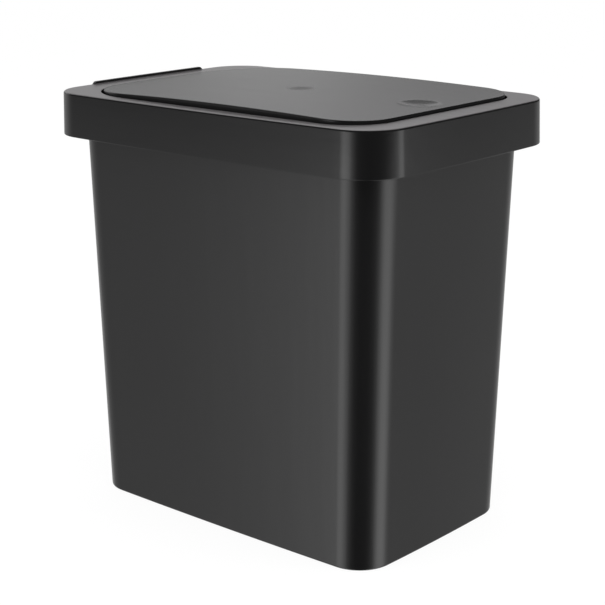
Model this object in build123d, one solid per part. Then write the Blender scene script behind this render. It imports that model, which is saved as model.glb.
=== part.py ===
from build123d import *
from math import atan2, degrees
import os

# Push-top waste bin: a tapered bucket under a deep-skirted lid frame, with an inset flap that is
# hinged near the back (+Y) and springs open when its front (-Y) is pressed on the touch latch.
# Millimetres, +Z up, origin under the middle of the lid frame on the surface that the bin stands on.

# Lid frame, outside
BIN_HEIGHT = 298.0
LID_LENGTH = 300.0
LID_WIDTH = 203.0
LID_CORNER = 29.5
LID_SIDE_BOW = 3.5
LID_END_BOW = 1.7
SKIRT_HEIGHT = 30.5
SKIRT_DRAFT = 0.9
LAND_EDGE = 1.4
SKIRT_HEM = 0.6
LID_WALL = 2.0
LAND_THICKNESS = 2.2
STOP_RIB_LENGTH = 116.0
STOP_RIB_WIDTH = 2.6
STOP_RIB_HEIGHT = 2.0
STOP_RIB_SETBACK = 0.35

# Opening in the lid frame and its well
SIDE_LAND = 11.0
FRONT_LAND = 19.8
BACK_LAND = 13.0
OPENING_FRONT_CORNER = 32.0
OPENING_BACK_CORNER = 46.0
WELL_DEPTH = 14.0
WELL_WALL = 2.0
OPENING_EDGE = 0.6

# Bucket
LID_OVERHANG = 13.0
SIDE_TAPER = 7.0
END_TAPER = 6.8
BASE_SHIFT = 2.5
MOUTH_CORNER = 26.5
BASE_CORNER = 25.3
BASE_SIDE_BOW = 1.6
BIN_WALL = 2.2
FLOOR_THICKNESS = 2.5
FOOT_HEIGHT = 3.0
FOOT_WIDTH = 7.0
FOOT_EDGE = 1.6
INNER_FLOOR_EDGE = 2.6
SHOULDER_EDGE = 0.7
RIM_EDGE = 0.5
BASE_RIB = 1.6
BASE_RIB_SETBACK = 0.6
BASE_RIB_COUNT = 4
SHOULDER_HEIGHT = 26.8
COLLAR_CLEARANCE = 0.6

# Flap
FLAP_GAP = 1.6
FLAP_BACK_GAP = 1.3
FLAP_SKIN = 2.2
FLAP_SKIRT_WALL = 2.0
FLAP_SKIRT_DROP = 5.0
CROWN_MIDDLE = 3.84
CROWN_FRONT = 2.0
CROWN_BACK = 0.4
FLAP_EDGE = 0.7
FLAP_RIB = 1.6
FLAP_RIB_X = 32.0
FLAP_RIB_FROM_FRONT = 49.7
FLAP_RIB_BEHIND_HINGE = 22.2
FLAP_RIB_COUNT = 5
DIMPLE_DIAMETER = 29.0
DIMPLE_DEPTH = 1.8
DIMPLE_PAD_DIAMETER = 36.0

# Hinge
HINGE_FROM_BACK = 49.0
HINGE_DROP = 4.0
PIN_DIAMETER = 4.0
PIN_FIT = 0.05
PIN_CHAMFER = 0.4
FRAME_BOSS_DIAMETER = 7.6
FRAME_BOSS_LENGTH = 1.5
FLAP_BOSS_DIAMETER = 8.0
FLAP_BOSS_LENGTH = 4.0
LUG_SPACING = 12.0
LUG_THICKNESS = 3.0
PIN_TAIL = 2.6
RETAINER_DIAMETER = 7.6
RETAINER_THICKNESS = 0.8
RETAINER_GAP = 0.2

# Hinge springs
HINGE_WIRE = 1.0
HINGE_COIL_RADIUS = 3.1
HINGE_COIL_PITCH = 1.5
HINGE_COIL_TURNS = 5
HINGE_LEG_LIFT = 25.0
HINGE_LEG_LENGTH = 15.0
HINGE_LEG_FIT = 0.1
HINGE_HOOK_LENGTH = 8.0

# Touch latch
PRESS_FROM_FRONT = 42.0
LATCH_SHELF_WIDTH = 50.0
LATCH_SHELF_THICKNESS = 2.5
LATCH_SHELF_LIP = 1.5
LATCH_SHELF_RIB = 3.5
LATCH_WIDTH = 26.0
LATCH_DEPTH = 16.0
LATCH_HEIGHT = 32.0
LATCH_WALL = 1.8
LATCH_COVER = 1.6
LATCH_EDGE = 1.0
LATCH_FLANGE_WIDTH = 46.0
LATCH_FLANGE_DEPTH = 21.0
LATCH_FLANGE = 2.0
LATCH_FIT = 0.3
SLIDER_FIT = 0.3
SLIDER_HEIGHT = 14.0
SLIDER_RISE = 6.0
NECK_WIDTH = 17.0
NECK_DEPTH = 9.0
JAW_THICKNESS = 3.0
JAW_HEIGHT = 5.4
JAW_HOOK = 1.6
JAW_HOOK_HEIGHT = 1.8
SADDLE_DEPTH = 3.0
FOLLOWER_WIRE = 1.2
FOLLOWER_GAP = 0.4
CAM_DEPTH = 1.6
CAM_WIDTH = 13.0
CAM_MARGIN = 1.5
FOLLOWER_OVERTRAVEL = 3.6
FOLLOWER_FOOT_HEIGHT = 3.0
LATCH_WIRE = 0.9
LATCH_COIL_RADIUS = 4.0
LATCH_COIL_TURNS = 5
LATCH_SPRING_FIT = 0.1

# Striker and screws
STRIKER_HEAD_WIDTH = 6.0
STRIKER_STEM_WIDTH = 2.4
STRIKER_HEAD_HEIGHT = 1.8
STRIKER_LEAD = 0.8
STRIKER_DEPTH = 7.0
STRIKER_PLATE = 2.0
STRIKER_PLATE_WIDTH = 9.0
STRIKER_PLATE_LENGTH = 36.0
STRIKER_BOSS_DIAMETER = 7.0
STRIKER_SCREW_SPACING = 28.0
STRIKER_HEAD_GAP = 0.4
STRIKER_PLATE_GAP = 1.2
SCREW_DIAMETER = 3.0
SCREW_HEAD_DIAMETER = 5.6
SCREW_HEAD_HEIGHT = 1.8
SCREW_FIT = 0.05
SCREW_HOLE_FIT = 0.3
LATCH_SCREW_LENGTH = 8.0
LATCH_SCREW_X = 18.5
STRIKER_SCREW_LENGTH = 6.0

# Heights
SKIRT_BOTTOM = BIN_HEIGHT - SKIRT_HEIGHT
LAND_UNDER = BIN_HEIGHT - LAND_THICKNESS
SHOULDER_Z = LAND_UNDER - SHOULDER_HEIGHT
WELL_BOTTOM = BIN_HEIGHT - WELL_DEPTH
FLOOR_Z = FOOT_HEIGHT + FLOOR_THICKNESS
FLAP_BOTTOM = BIN_HEIGHT - FLAP_SKIRT_DROP
HINGE_Z = BIN_HEIGHT - HINGE_DROP

# Opening and flap outlines
TOP_HALF_LENGTH = LID_LENGTH / 2 - SKIRT_DRAFT
OPENING_HALF_WIDTH = LID_WIDTH / 2 - SKIRT_DRAFT - SIDE_LAND
OPENING_FRONT = FRONT_LAND - TOP_HALF_LENGTH
OPENING_BACK = TOP_HALF_LENGTH - BACK_LAND
OPENING_LENGTH = OPENING_BACK - OPENING_FRONT
OPENING_MIDDLE = (OPENING_BACK + OPENING_FRONT) / 2
FLAP_HALF_WIDTH = OPENING_HALF_WIDTH - FLAP_GAP
FLAP_FRONT = OPENING_FRONT + FLAP_GAP
FLAP_BACK = OPENING_BACK - FLAP_BACK_GAP
FLAP_MIDDLE = (FLAP_FRONT + FLAP_BACK) / 2
FLAP_HALF_LENGTH = (FLAP_BACK - FLAP_FRONT) / 2
FLAP_FRONT_CORNER = OPENING_FRONT_CORNER - FLAP_GAP
FLAP_BACK_CORNER = OPENING_BACK_CORNER - FLAP_GAP

# Crown: an arc along the bin through its heights over the flap's front, middle and back
CROWN_RISE = CROWN_MIDDLE - (CROWN_FRONT + CROWN_BACK) / 2
CROWN_RADIUS = (FLAP_HALF_LENGTH**2 + CROWN_RISE**2) / (2 * CROWN_RISE)
CROWN_OFFSET = CROWN_RADIUS * (CROWN_FRONT - CROWN_BACK) / (2 * FLAP_HALF_LENGTH)
CROWN_Y = FLAP_MIDDLE - CROWN_OFFSET
CROWN_AXIS_Z = BIN_HEIGHT + CROWN_MIDDLE - (CROWN_RADIUS**2 - CROWN_OFFSET**2) ** 0.5

# Hinge line
HINGE_Y = FLAP_BACK - HINGE_FROM_BACK
FLAP_RIB_FIRST = FLAP_FRONT + FLAP_RIB_FROM_FRONT
FLAP_RIB_STEP = (HINGE_Y + FLAP_RIB_BEHIND_HINGE - FLAP_RIB_FIRST) / (FLAP_RIB_COUNT - 1)
PIN_BORE = PIN_DIAMETER + 2 * PIN_FIT
PIN_OUTER = OPENING_HALF_WIDTH + WELL_WALL + FRAME_BOSS_LENGTH - RETAINER_GAP
FLAP_BOSS_INNER = FLAP_HALF_WIDTH - FLAP_BOSS_LENGTH
LUG_OUTER = FLAP_BOSS_INNER - LUG_SPACING
LUG_INNER = LUG_OUTER - LUG_THICKNESS
PIN_INNER = LUG_INNER - PIN_TAIL

# Latch places, all measured from the shelf and the press point
LATCH_Y = PRESS_FROM_FRONT - LID_LENGTH / 2
SHELF_TOP = WELL_BOTTOM + LATCH_SHELF_THICKNESS
FLANGE_TOP = SHELF_TOP + LATCH_FLANGE
LATCH_BOTTOM = SHELF_TOP - LATCH_HEIGHT
LATCH_FRONT = LATCH_Y - LATCH_DEPTH / 2
LATCH_BACK = LATCH_Y + LATCH_DEPTH / 2
COVER_Y = LATCH_BACK - LATCH_COVER
CAVITY_HALF_WIDTH = LATCH_WIDTH / 2 - LATCH_WALL
CAVITY_FRONT = LATCH_FRONT + LATCH_WALL
CAVITY_FLOOR = LATCH_BOTTOM + LATCH_WALL
SLIDER_TOP = SHELF_TOP - SLIDER_RISE - SLIDER_FIT
SLIDER_BOTTOM = SLIDER_TOP - SLIDER_HEIGHT
FOLLOWER_Y = COVER_Y - FOLLOWER_GAP - FOLLOWER_WIRE / 2
SLIDER_BACK = FOLLOWER_Y - FOLLOWER_WIRE / 2 - FOLLOWER_GAP
SLIDER_FRONT = CAVITY_FRONT + SLIDER_FIT
SPRING_Y = (SLIDER_FRONT + SLIDER_BACK) / 2
CAM_TOP = SLIDER_TOP - CAM_MARGIN
CAM_BOTTOM = SLIDER_BOTTOM + CAM_MARGIN
FOLLOWER_TIP_Z = CAM_TOP - FOLLOWER_OVERTRAVEL
FOLLOWER_FOOT_Z = CAVITY_FLOOR + FOLLOWER_FOOT_HEIGHT

# Striker and its screws, measured from the slider's saddle
SADDLE_Z = SHELF_TOP - SADDLE_DEPTH
JAW_TOP = SADDLE_Z + JAW_HEIGHT
STRIKER_TIP_Z = SADDLE_Z + STRIKER_HEAD_GAP
STRIKER_PLATE_LOW = JAW_TOP + STRIKER_PLATE_GAP
STRIKER_PLATE_TOP = STRIKER_PLATE_LOW + STRIKER_PLATE
STRIKER_SCREW_TIP = STRIKER_PLATE_LOW + STRIKER_SCREW_LENGTH
STRIKER_SCREW_Y = (LATCH_Y - STRIKER_SCREW_SPACING / 2, LATCH_Y + STRIKER_SCREW_SPACING / 2)
SCREW_BORE = SCREW_DIAMETER + 2 * SCREW_FIT
SCREW_CLEAR_HOLE = SCREW_DIAMETER + 2 * SCREW_HOLE_FIT


def crown_height(y):
    """Height of the flap's crowned top at the distance y along the bin."""
    return CROWN_AXIS_Z + (CROWN_RADIUS**2 - (y - CROWN_Y) ** 2) ** 0.5


def block(x0, x1, y0, y1, z0, z1):
    """Rectangular block between two corners."""
    return Pos((x0 + x1) / 2, (y0 + y1) / 2, (z0 + z1) / 2) * Box(x1 - x0, y1 - y0, z1 - z0)


def rod(diameter, x0, x1, y, z):
    """Round bar along X between x0 and x1."""
    return Pos((x0 + x1) / 2, y, z) * Rot(0, 90, 0) * Cylinder(diameter / 2, abs(x1 - x0))


def post(diameter, x, y, z0, z1):
    """Round bar along Z between z0 and z1."""
    return Pos(x, y, (z0 + z1) / 2) * Cylinder(diameter / 2, z1 - z0)


def both_sides(piece):
    """The piece and its mirror image across the bin's middle."""
    return piece + mirror(piece, Plane.YZ)


def bowed_outline(width, length, corner, side_bow, end_bow, z, shift=0.0):
    """Rounded rectangle with gently bowed sides, as a face at height z."""
    x = width / 2 - side_bow
    y = length / 2 - end_bow
    right = ThreePointArc((x, -y), (width / 2, 0), (x, y))
    back = ThreePointArc((x, y), (0, length / 2), (-x, y))
    left = ThreePointArc((-x, y), (-width / 2, 0), (-x, -y))
    front = ThreePointArc((-x, -y), (0, -length / 2), (x, -y))
    sharp = make_face([right, back, left, front])
    return Pos(0, shift, z) * fillet(sharp.vertices(), corner)


def lid_outline(z, inset=0.0):
    """Outline of the lid frame's skirt at height z, taken inset inside its outer face."""
    draft = SKIRT_DRAFT * (z - SKIRT_BOTTOM) / SKIRT_HEIGHT
    cut = inset + draft
    width = LID_WIDTH - 2 * cut
    length = LID_LENGTH - 2 * cut
    return bowed_outline(width, length, LID_CORNER - cut, LID_SIDE_BOW, LID_END_BOW, z)


def wall_outline(z, inset=0.0):
    """Outline of the bucket's wall at height z, taken inset inside its outer face."""
    below = 1 - z / SKIRT_BOTTOM
    cut = inset + LID_OVERHANG
    width = LID_WIDTH - 2 * cut - 2 * SIDE_TAPER * below
    length = LID_LENGTH - 2 * cut - 2 * END_TAPER * below
    corner = MOUTH_CORNER + (BASE_CORNER - MOUTH_CORNER) * below - inset
    side_bow = LID_SIDE_BOW + (BASE_SIDE_BOW - LID_SIDE_BOW) * below
    return bowed_outline(width, length, corner, side_bow, LID_END_BOW, z, BASE_SHIFT * below)


def collar_outline(z, inset=0.0):
    """Outline of the bucket's collar, which stands clear inside the lid's skirt."""
    cut = inset + SKIRT_DRAFT + LID_WALL + COLLAR_CLEARANCE
    width = LID_WIDTH - 2 * cut
    length = LID_LENGTH - 2 * cut
    return bowed_outline(width, length, LID_CORNER - cut, LID_SIDE_BOW, LID_END_BOW, z)


def two_radius_outline(width, length, front_corner, back_corner, middle, z):
    """Rectangle around y = middle with one corner radius in front and another at the back, as a face."""
    sharp = Rectangle(width, length)
    front = fillet(sharp.vertices().group_by(Axis.Y)[0], front_corner)
    return Pos(0, middle, z) * fillet(front.vertices().group_by(Axis.Y)[-1], back_corner)


def opening_outline(z, grow=0.0):
    """Outline of the lid frame's opening at height z, grown outwards."""
    width = 2 * (OPENING_HALF_WIDTH + grow)
    length = OPENING_LENGTH + 2 * grow
    front_corner = OPENING_FRONT_CORNER + grow
    return two_radius_outline(width, length, front_corner, OPENING_BACK_CORNER + grow, OPENING_MIDDLE, z)


def flap_outline(z, inset=0.0):
    """Outline of the flap at height z, taken inset inside its edge."""
    width = 2 * (FLAP_HALF_WIDTH - inset)
    length = 2 * (FLAP_HALF_LENGTH - inset)
    front_corner = FLAP_FRONT_CORNER - inset
    return two_radius_outline(width, length, front_corner, FLAP_BACK_CORNER - inset, FLAP_MIDDLE, z)


def make_base_ribs():
    """Crossed ribs that stiffen the floor inside the foot."""
    ribs = Part()
    for number in range(BASE_RIB_COUNT):
        turn = 180 * number / BASE_RIB_COUNT
        bar = block(-LID_LENGTH, LID_LENGTH, -BASE_RIB / 2, BASE_RIB / 2, BASE_RIB_SETBACK, FOOT_HEIGHT)
        ribs += Pos(0, BASE_SHIFT, 0) * Rot(0, 0, turn) * bar
    return ribs


def make_bin_body():
    """Tapered bucket with a stepped collar and a recessed, ribbed base on a foot."""
    wall = loft([wall_outline(0), wall_outline(SHOULDER_Z)], ruled=True)
    wall = fillet(wall.edges().group_by(Axis.Z)[0], FOOT_EDGE)
    collar = extrude(collar_outline(SHOULDER_Z), LAND_UNDER - SHOULDER_Z)
    collar = fillet(collar.edges().group_by(Axis.Z)[0], SHOULDER_EDGE)
    inside_bottom = SHOULDER_Z + BIN_WALL
    hollow = loft([wall_outline(FLOOR_Z, BIN_WALL), wall_outline(inside_bottom, BIN_WALL)], ruled=True)
    hollow = fillet(hollow.edges().group_by(Axis.Z)[0], INNER_FLOOR_EDGE)
    mouth = extrude(collar_outline(inside_bottom, BIN_WALL), LAND_UNDER - inside_bottom)
    recess = loft([wall_outline(0, FOOT_WIDTH), wall_outline(FOOT_HEIGHT, FOOT_WIDTH)], ruled=True)
    body = wall + collar - hollow - mouth - (recess - make_base_ribs())
    return fillet(body.edges().group_by(Axis.Z)[-1], RIM_EDGE)


def make_latch_shelf():
    """Tongue under the flap's front that carries the touch latch."""
    half = LATCH_SHELF_WIDTH / 2
    front = OPENING_FRONT - WELL_WALL / 2
    back = LATCH_Y + LATCH_FLANGE_DEPTH / 2 + LATCH_SHELF_LIP
    plate = block(-half, half, front, back, WELL_BOTTOM, SHELF_TOP)
    plate = fillet(plate.edges().filter_by(Axis.Z).group_by(Axis.Y)[-1], 2 * LATCH_SHELF_RIB)
    rib_back = back - 2 * LATCH_SHELF_RIB
    rib = block(half - FLAP_RIB, half, front, rib_back, SHELF_TOP, SHELF_TOP + LATCH_SHELF_RIB)
    well = block(
        -LATCH_WIDTH / 2 - LATCH_FIT,
        LATCH_WIDTH / 2 + LATCH_FIT,
        LATCH_FRONT - LATCH_FIT,
        LATCH_BACK + LATCH_FIT,
        WELL_BOTTOM,
        SHELF_TOP,
    )
    hole = post(SCREW_BORE, LATCH_SCREW_X, LATCH_Y, WELL_BOTTOM, SHELF_TOP)
    return plate + both_sides(rib) - well - both_sides(hole)


def make_lid_frame():
    """Frame with its skirt, land, well, stop rib, hinge bosses and latch shelf."""
    outer = loft([lid_outline(SKIRT_BOTTOM), lid_outline(BIN_HEIGHT)], ruled=True)
    outer = fillet(outer.edges().group_by(Axis.Z)[-1], LAND_EDGE)
    outer = fillet(outer.edges().group_by(Axis.Z)[0], SKIRT_HEM)
    hollow = loft([lid_outline(SKIRT_BOTTOM, LID_WALL), lid_outline(LAND_UNDER, LID_WALL)], ruled=True)
    frame = outer - hollow
    frame += extrude(opening_outline(WELL_BOTTOM, WELL_WALL), LAND_UNDER + LAND_THICKNESS / 2 - WELL_BOTTOM)
    boss_start = OPENING_HALF_WIDTH + WELL_WALL / 2
    boss_end = OPENING_HALF_WIDTH + WELL_WALL + FRAME_BOSS_LENGTH
    frame += both_sides(rod(FRAME_BOSS_DIAMETER, boss_start, boss_end, HINGE_Y, HINGE_Z))
    frame -= extrude(opening_outline(WELL_BOTTOM), WELL_DEPTH)
    frame -= both_sides(rod(PIN_BORE, OPENING_HALF_WIDTH, boss_end, HINGE_Y, HINGE_Z))
    edges = frame.edges().filter_by_position(Axis.Z, BIN_HEIGHT - 0.01, BIN_HEIGHT + 0.01)
    inner = edges.filter_by(lambda edge: abs(edge.center().X) < OPENING_HALF_WIDTH + OPENING_EDGE)
    inner = inner.filter_by(lambda edge: OPENING_FRONT - 1 < edge.center().Y < OPENING_BACK + 1)
    frame = chamfer(inner, OPENING_EDGE)
    return frame + make_stop_rib() + make_latch_shelf()


def make_stop_rib():
    """Raised rib along the frame's back edge, which follows the edge's bow."""
    low = BIN_HEIGHT - LAND_THICKNESS / 2
    high = BIN_HEIGHT + STOP_RIB_HEIGHT
    outside = lid_outline(BIN_HEIGHT, STOP_RIB_SETBACK)
    inside = lid_outline(BIN_HEIGHT, STOP_RIB_SETBACK + STOP_RIB_WIDTH)
    band = Pos(0, 0, low - BIN_HEIGHT) * extrude(outside - inside, high - low)
    half = STOP_RIB_LENGTH / 2
    return band & block(-half, half, 0, LID_LENGTH, low, high)


def make_flap_shell():
    """Crowned shell with its skirt, and the hollow under it."""
    tall = 2 * CROWN_MIDDLE + FLAP_SKIRT_DROP
    axis = Pos(0, CROWN_Y, CROWN_AXIS_Z) * Rot(0, 90, 0)
    crown = axis * Cylinder(CROWN_RADIUS, LID_WIDTH)
    under = axis * Cylinder(CROWN_RADIUS - FLAP_SKIN, LID_WIDTH)
    shell = extrude(flap_outline(FLAP_BOTTOM), tall) & crown
    top_edges = shell.edges().filter_by(lambda edge: edge.center().Z > BIN_HEIGHT)
    top_edges = top_edges.filter_by(lambda edge: abs(edge.bounding_box().size.Z) < FLAP_SKIRT_DROP)
    shell = fillet(top_edges, FLAP_EDGE)
    hollow = extrude(flap_outline(FLAP_BOTTOM, FLAP_SKIRT_WALL), tall) & under
    return shell, hollow


def make_flap_ribs():
    """Long ribs and cross ribs, before they are cut to the hollow."""
    top = BIN_HEIGHT + 2 * CROWN_MIDDLE
    half = FLAP_RIB / 2
    ribs = both_sides(block(FLAP_RIB_X - half, FLAP_RIB_X + half, FLAP_RIB_FIRST, FLAP_BACK, FLAP_BOTTOM, top))
    for number in range(FLAP_RIB_COUNT):
        y = FLAP_RIB_FIRST + FLAP_RIB_STEP * number
        ribs += block(-FLAP_HALF_WIDTH, FLAP_HALF_WIDTH, y - half, y + half, FLAP_BOTTOM, top)
    return ribs


def make_hinge_lugs():
    """Bosses in the flap's side walls and the hanging lugs beside them, without their bores."""
    boss = rod(FLAP_BOSS_DIAMETER, FLAP_BOSS_INNER, FLAP_HALF_WIDTH - FLAP_SKIRT_WALL / 2, HINGE_Y, HINGE_Z)
    half = FLAP_BOSS_DIAMETER / 2
    top = crown_height(HINGE_Y) - FLAP_SKIN / 2
    lug = rod(FLAP_BOSS_DIAMETER, LUG_INNER, LUG_OUTER, HINGE_Y, HINGE_Z)
    lug += block(LUG_INNER, LUG_OUTER, HINGE_Y - half, HINGE_Y + half, HINGE_Z, top)
    return both_sides(boss) + both_sides(lug)


def make_press_pad():
    """Thicker pad under the press dimple and the two bosses that take the striker's screws."""
    under = crown_height(LATCH_Y) - FLAP_SKIN
    pad = post(DIMPLE_PAD_DIAMETER, 0, LATCH_Y, under - DIMPLE_DEPTH, under + FLAP_SKIN / 2)
    for y in STRIKER_SCREW_Y:
        pad += post(STRIKER_BOSS_DIAMETER, 0, y, STRIKER_PLATE_TOP, under + FLAP_SKIN / 2)
    return pad


def make_flap():
    """Push flap: crowned shell, ribs, hinge lugs, press dimple and striker bosses."""
    shell, hollow = make_flap_shell()
    flap = shell - hollow + (make_flap_ribs() & hollow) + make_hinge_lugs() + make_press_pad()
    flap -= both_sides(rod(PIN_BORE, LUG_INNER, FLAP_HALF_WIDTH, HINGE_Y, HINGE_Z))
    for y in STRIKER_SCREW_Y:
        flap -= post(SCREW_BORE, 0, y, STRIKER_PLATE_TOP, STRIKER_SCREW_TIP + SCREW_HOLE_FIT)
    dimple_radius = (DIMPLE_DIAMETER**2 / 4 + DIMPLE_DEPTH**2) / (2 * DIMPLE_DEPTH)
    ball_height = crown_height(LATCH_Y) - DIMPLE_DEPTH + dimple_radius
    return flap - Pos(0, LATCH_Y, ball_height) * Sphere(dimple_radius)


def make_hinge_pin(side):
    """Steel pin through the frame's boss and the flap's lugs, on the side +1 or -1."""
    pin = rod(PIN_DIAMETER, side * PIN_INNER, side * PIN_OUTER, HINGE_Y, HINGE_Z)
    return chamfer(pin.edges().filter_by(GeomType.CIRCLE), PIN_CHAMFER)


def make_pin_retainers():
    """Push-on washers at the inner ends of both pins."""
    outer = LUG_INNER - RETAINER_GAP
    washer = rod(RETAINER_DIAMETER, outer - RETAINER_THICKNESS, outer, HINGE_Y, HINGE_Z)
    washer -= rod(PIN_BORE, outer - RETAINER_THICKNESS, outer, HINGE_Y, HINGE_Z)
    return both_sides(washer)


def make_hinge_spring():
    """Torsion spring on the right-hand pin: hooked leg, coil and lifting leg."""
    turns = HINGE_COIL_TURNS + 0.75 + HINGE_LEG_LIFT / 360
    x_start = FLAP_BOSS_INNER - HINGE_WIRE
    coil = Helix(HINGE_COIL_PITCH, HINGE_COIL_PITCH * turns, HINGE_COIL_RADIUS, direction=(-1, 0, 0))
    coil = coil.moved(Location((x_start, HINGE_Y, HINGE_Z)))
    start = coil @ 0
    turn = degrees(atan2(start.Z - HINGE_Z, start.Y - HINGE_Y))
    coil = coil.rotate(Axis((0, HINGE_Y, HINGE_Z), (1, 0, 0)), 180 - turn)
    start = coil @ 0
    down = (coil % 0) * -1
    drop = (HINGE_Z - WELL_BOTTOM + HINGE_WIRE / 2 + HINGE_LEG_FIT) / abs(down.Z)
    corner = start + down * drop
    leg = FilletPolyline(corner + Vector(HINGE_HOOK_LENGTH, 0, 0), corner, start, radius=1.5 * HINGE_WIRE)
    lift = Line(coil @ 1, coil @ 1 + (coil % 1) * HINGE_LEG_LENGTH)
    path = Wire([*leg.edges(), coil, *lift.edges()])
    section = Plane(path @ 0, z_dir=path % 0) * RegularPolygon(HINGE_WIRE / 2, 8)
    return sweep(section, path)


def make_latch_housing():
    """Cartridge housing, open at its back, with its flange and throat."""
    half = LATCH_WIDTH / 2
    housing = block(-half, half, LATCH_FRONT, COVER_Y, LATCH_BOTTOM, SHELF_TOP)
    housing = fillet(housing.edges().filter_by(Axis.Z).group_by(Axis.Y)[0], LATCH_EDGE)
    housing -= block(-CAVITY_HALF_WIDTH, CAVITY_HALF_WIDTH, CAVITY_FRONT, COVER_Y, CAVITY_FLOOR, SHELF_TOP)
    flange_half = LATCH_FLANGE_WIDTH / 2
    flange_front = LATCH_Y - LATCH_FLANGE_DEPTH / 2
    flange_back = LATCH_Y + LATCH_FLANGE_DEPTH / 2
    flange = block(-flange_half, flange_half, flange_front, flange_back, SHELF_TOP, FLANGE_TOP)
    flange = fillet(flange.edges().filter_by(Axis.Z), 2 * LATCH_FLANGE)
    throat_x = NECK_WIDTH / 2 + SLIDER_FIT
    throat_y = NECK_DEPTH / 2 + SLIDER_FIT
    flange -= block(-throat_x, throat_x, LATCH_Y - throat_y, LATCH_Y + throat_y, SHELF_TOP, FLANGE_TOP)
    hole = post(SCREW_CLEAR_HOLE, LATCH_SCREW_X, LATCH_Y, SHELF_TOP, FLANGE_TOP)
    return housing + flange - both_sides(hole)


def make_latch_cover():
    """Plate that closes the cartridge and holds the follower's foot."""
    half = LATCH_WIDTH / 2
    cover = block(-half, half, COVER_Y, LATCH_BACK, LATCH_BOTTOM, SHELF_TOP)
    cover = fillet(cover.edges().filter_by(Axis.Z).group_by(Axis.Y)[-1], LATCH_EDGE)
    foot = Pos(0, (COVER_Y + LATCH_BACK) / 2, FOLLOWER_FOOT_Z) * Rot(90, 0, 0)
    return cover - foot * Cylinder(FOLLOWER_WIRE / 2 + PIN_FIT, LATCH_COVER)


def make_cam_track():
    """Heart-shaped island in its pocket on the slider's back face."""
    half = CAM_WIDTH / 2
    pocket = block(-half, half, SLIDER_BACK - CAM_DEPTH, SLIDER_BACK, CAM_BOTTOM, CAM_TOP)
    island_half = half - 1.5 * FOLLOWER_WIRE
    notch_z = FOLLOWER_TIP_Z - FOLLOWER_WIRE / 2 - FOLLOWER_GAP / 2
    lobe_z = notch_z + FOLLOWER_WIRE
    low_z = CAM_BOTTOM + 1.5 * FOLLOWER_WIRE
    outline = [
        (0, low_z),
        (island_half, (low_z + notch_z) / 2),
        (island_half, lobe_z - FOLLOWER_WIRE / 2),
        (island_half / 2, lobe_z),
        (0, notch_z),
        (-island_half / 2, lobe_z),
        (-island_half, lobe_z - FOLLOWER_WIRE / 2),
        (-island_half, (low_z + notch_z) / 2),
    ]
    heart = Plane.XZ * make_face(Polyline(outline, close=True))
    heart = Pos(0, SLIDER_BACK, 0) * extrude(heart, CAM_DEPTH)
    return pocket - heart


def make_latch_slider():
    """Slider with its cam track, neck and the two jaws that take the striker."""
    half = CAVITY_HALF_WIDTH - SLIDER_FIT
    slider = block(-half, half, SLIDER_FRONT, SLIDER_BACK, SLIDER_BOTTOM, SLIDER_TOP)
    slider -= make_cam_track()
    neck = NECK_WIDTH / 2
    neck_front = LATCH_Y - NECK_DEPTH / 2
    neck_back = LATCH_Y + NECK_DEPTH / 2
    slider += block(-neck, neck, neck_front, neck_back, SLIDER_TOP, SADDLE_Z)
    slider += both_sides(block(neck - JAW_THICKNESS, neck, neck_front, neck_back, SADDLE_Z, JAW_TOP))
    hook_low = JAW_TOP - JAW_HOOK_HEIGHT
    inner = neck - JAW_THICKNESS
    hook = block(inner - JAW_HOOK, inner, neck_front, neck_back, hook_low, JAW_TOP)
    hook = chamfer(hook.edges().filter_by(Axis.Y).sort_by(Axis.X)[:2].sort_by(Axis.Z)[-1:], JAW_HOOK / 2)
    return slider + both_sides(hook)


def make_latch_spring():
    """Compression spring between the cartridge's floor and the slider."""
    low = CAVITY_FLOOR + LATCH_WIRE / 2 + LATCH_SPRING_FIT
    high = SLIDER_BOTTOM - LATCH_WIRE / 2 - LATCH_SPRING_FIT
    path = Helix((high - low) / LATCH_COIL_TURNS, high - low, LATCH_COIL_RADIUS)
    path = path.moved(Location((0, SPRING_Y, low)))
    section = Plane(path @ 0, z_dir=path % 0) * RegularPolygon(LATCH_WIRE / 2, 8)
    return sweep(section, Wire([path]))


def make_latch_follower():
    """Bent wire from its foot in the cover up to the cam track."""
    foot = (0, LATCH_BACK, FOLLOWER_FOOT_Z)
    low = (0, FOLLOWER_Y, FOLLOWER_FOOT_Z)
    high = (0, FOLLOWER_Y, FOLLOWER_TIP_Z)
    tip = (0, SLIDER_BACK - CAM_DEPTH + FOLLOWER_GAP, FOLLOWER_TIP_Z)
    path = FilletPolyline(foot, low, high, tip, radius=FOLLOWER_WIRE)
    section = Plane(path @ 0, z_dir=path % 0) * Circle(FOLLOWER_WIRE / 2)
    return sweep(section, path)


def make_striker():
    """Screwed plate with the T-headed tongue that the jaws take."""
    half = STRIKER_PLATE_WIDTH / 2
    reach = STRIKER_PLATE_LENGTH / 2
    plate = block(-half, half, LATCH_Y - reach, LATCH_Y + reach, STRIKER_PLATE_LOW, STRIKER_PLATE_TOP)
    plate = fillet(plate.edges().filter_by(Axis.Z), STRIKER_PLATE)
    tongue = STRIKER_DEPTH / 2
    stem = STRIKER_STEM_WIDTH / 2
    head = STRIKER_HEAD_WIDTH / 2
    head_top = STRIKER_TIP_Z + STRIKER_HEAD_HEIGHT
    plate += block(-stem, stem, LATCH_Y - tongue, LATCH_Y + tongue, STRIKER_TIP_Z, STRIKER_PLATE_LOW)
    tip = block(-head, head, LATCH_Y - tongue, LATCH_Y + tongue, STRIKER_TIP_Z, head_top)
    plate += chamfer(tip.edges().filter_by(Axis.Y).group_by(Axis.Z)[0], STRIKER_LEAD)
    for y in STRIKER_SCREW_Y:
        plate -= post(SCREW_CLEAR_HOLE, 0, y, STRIKER_PLATE_LOW, STRIKER_PLATE_TOP)
    return plate


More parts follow.
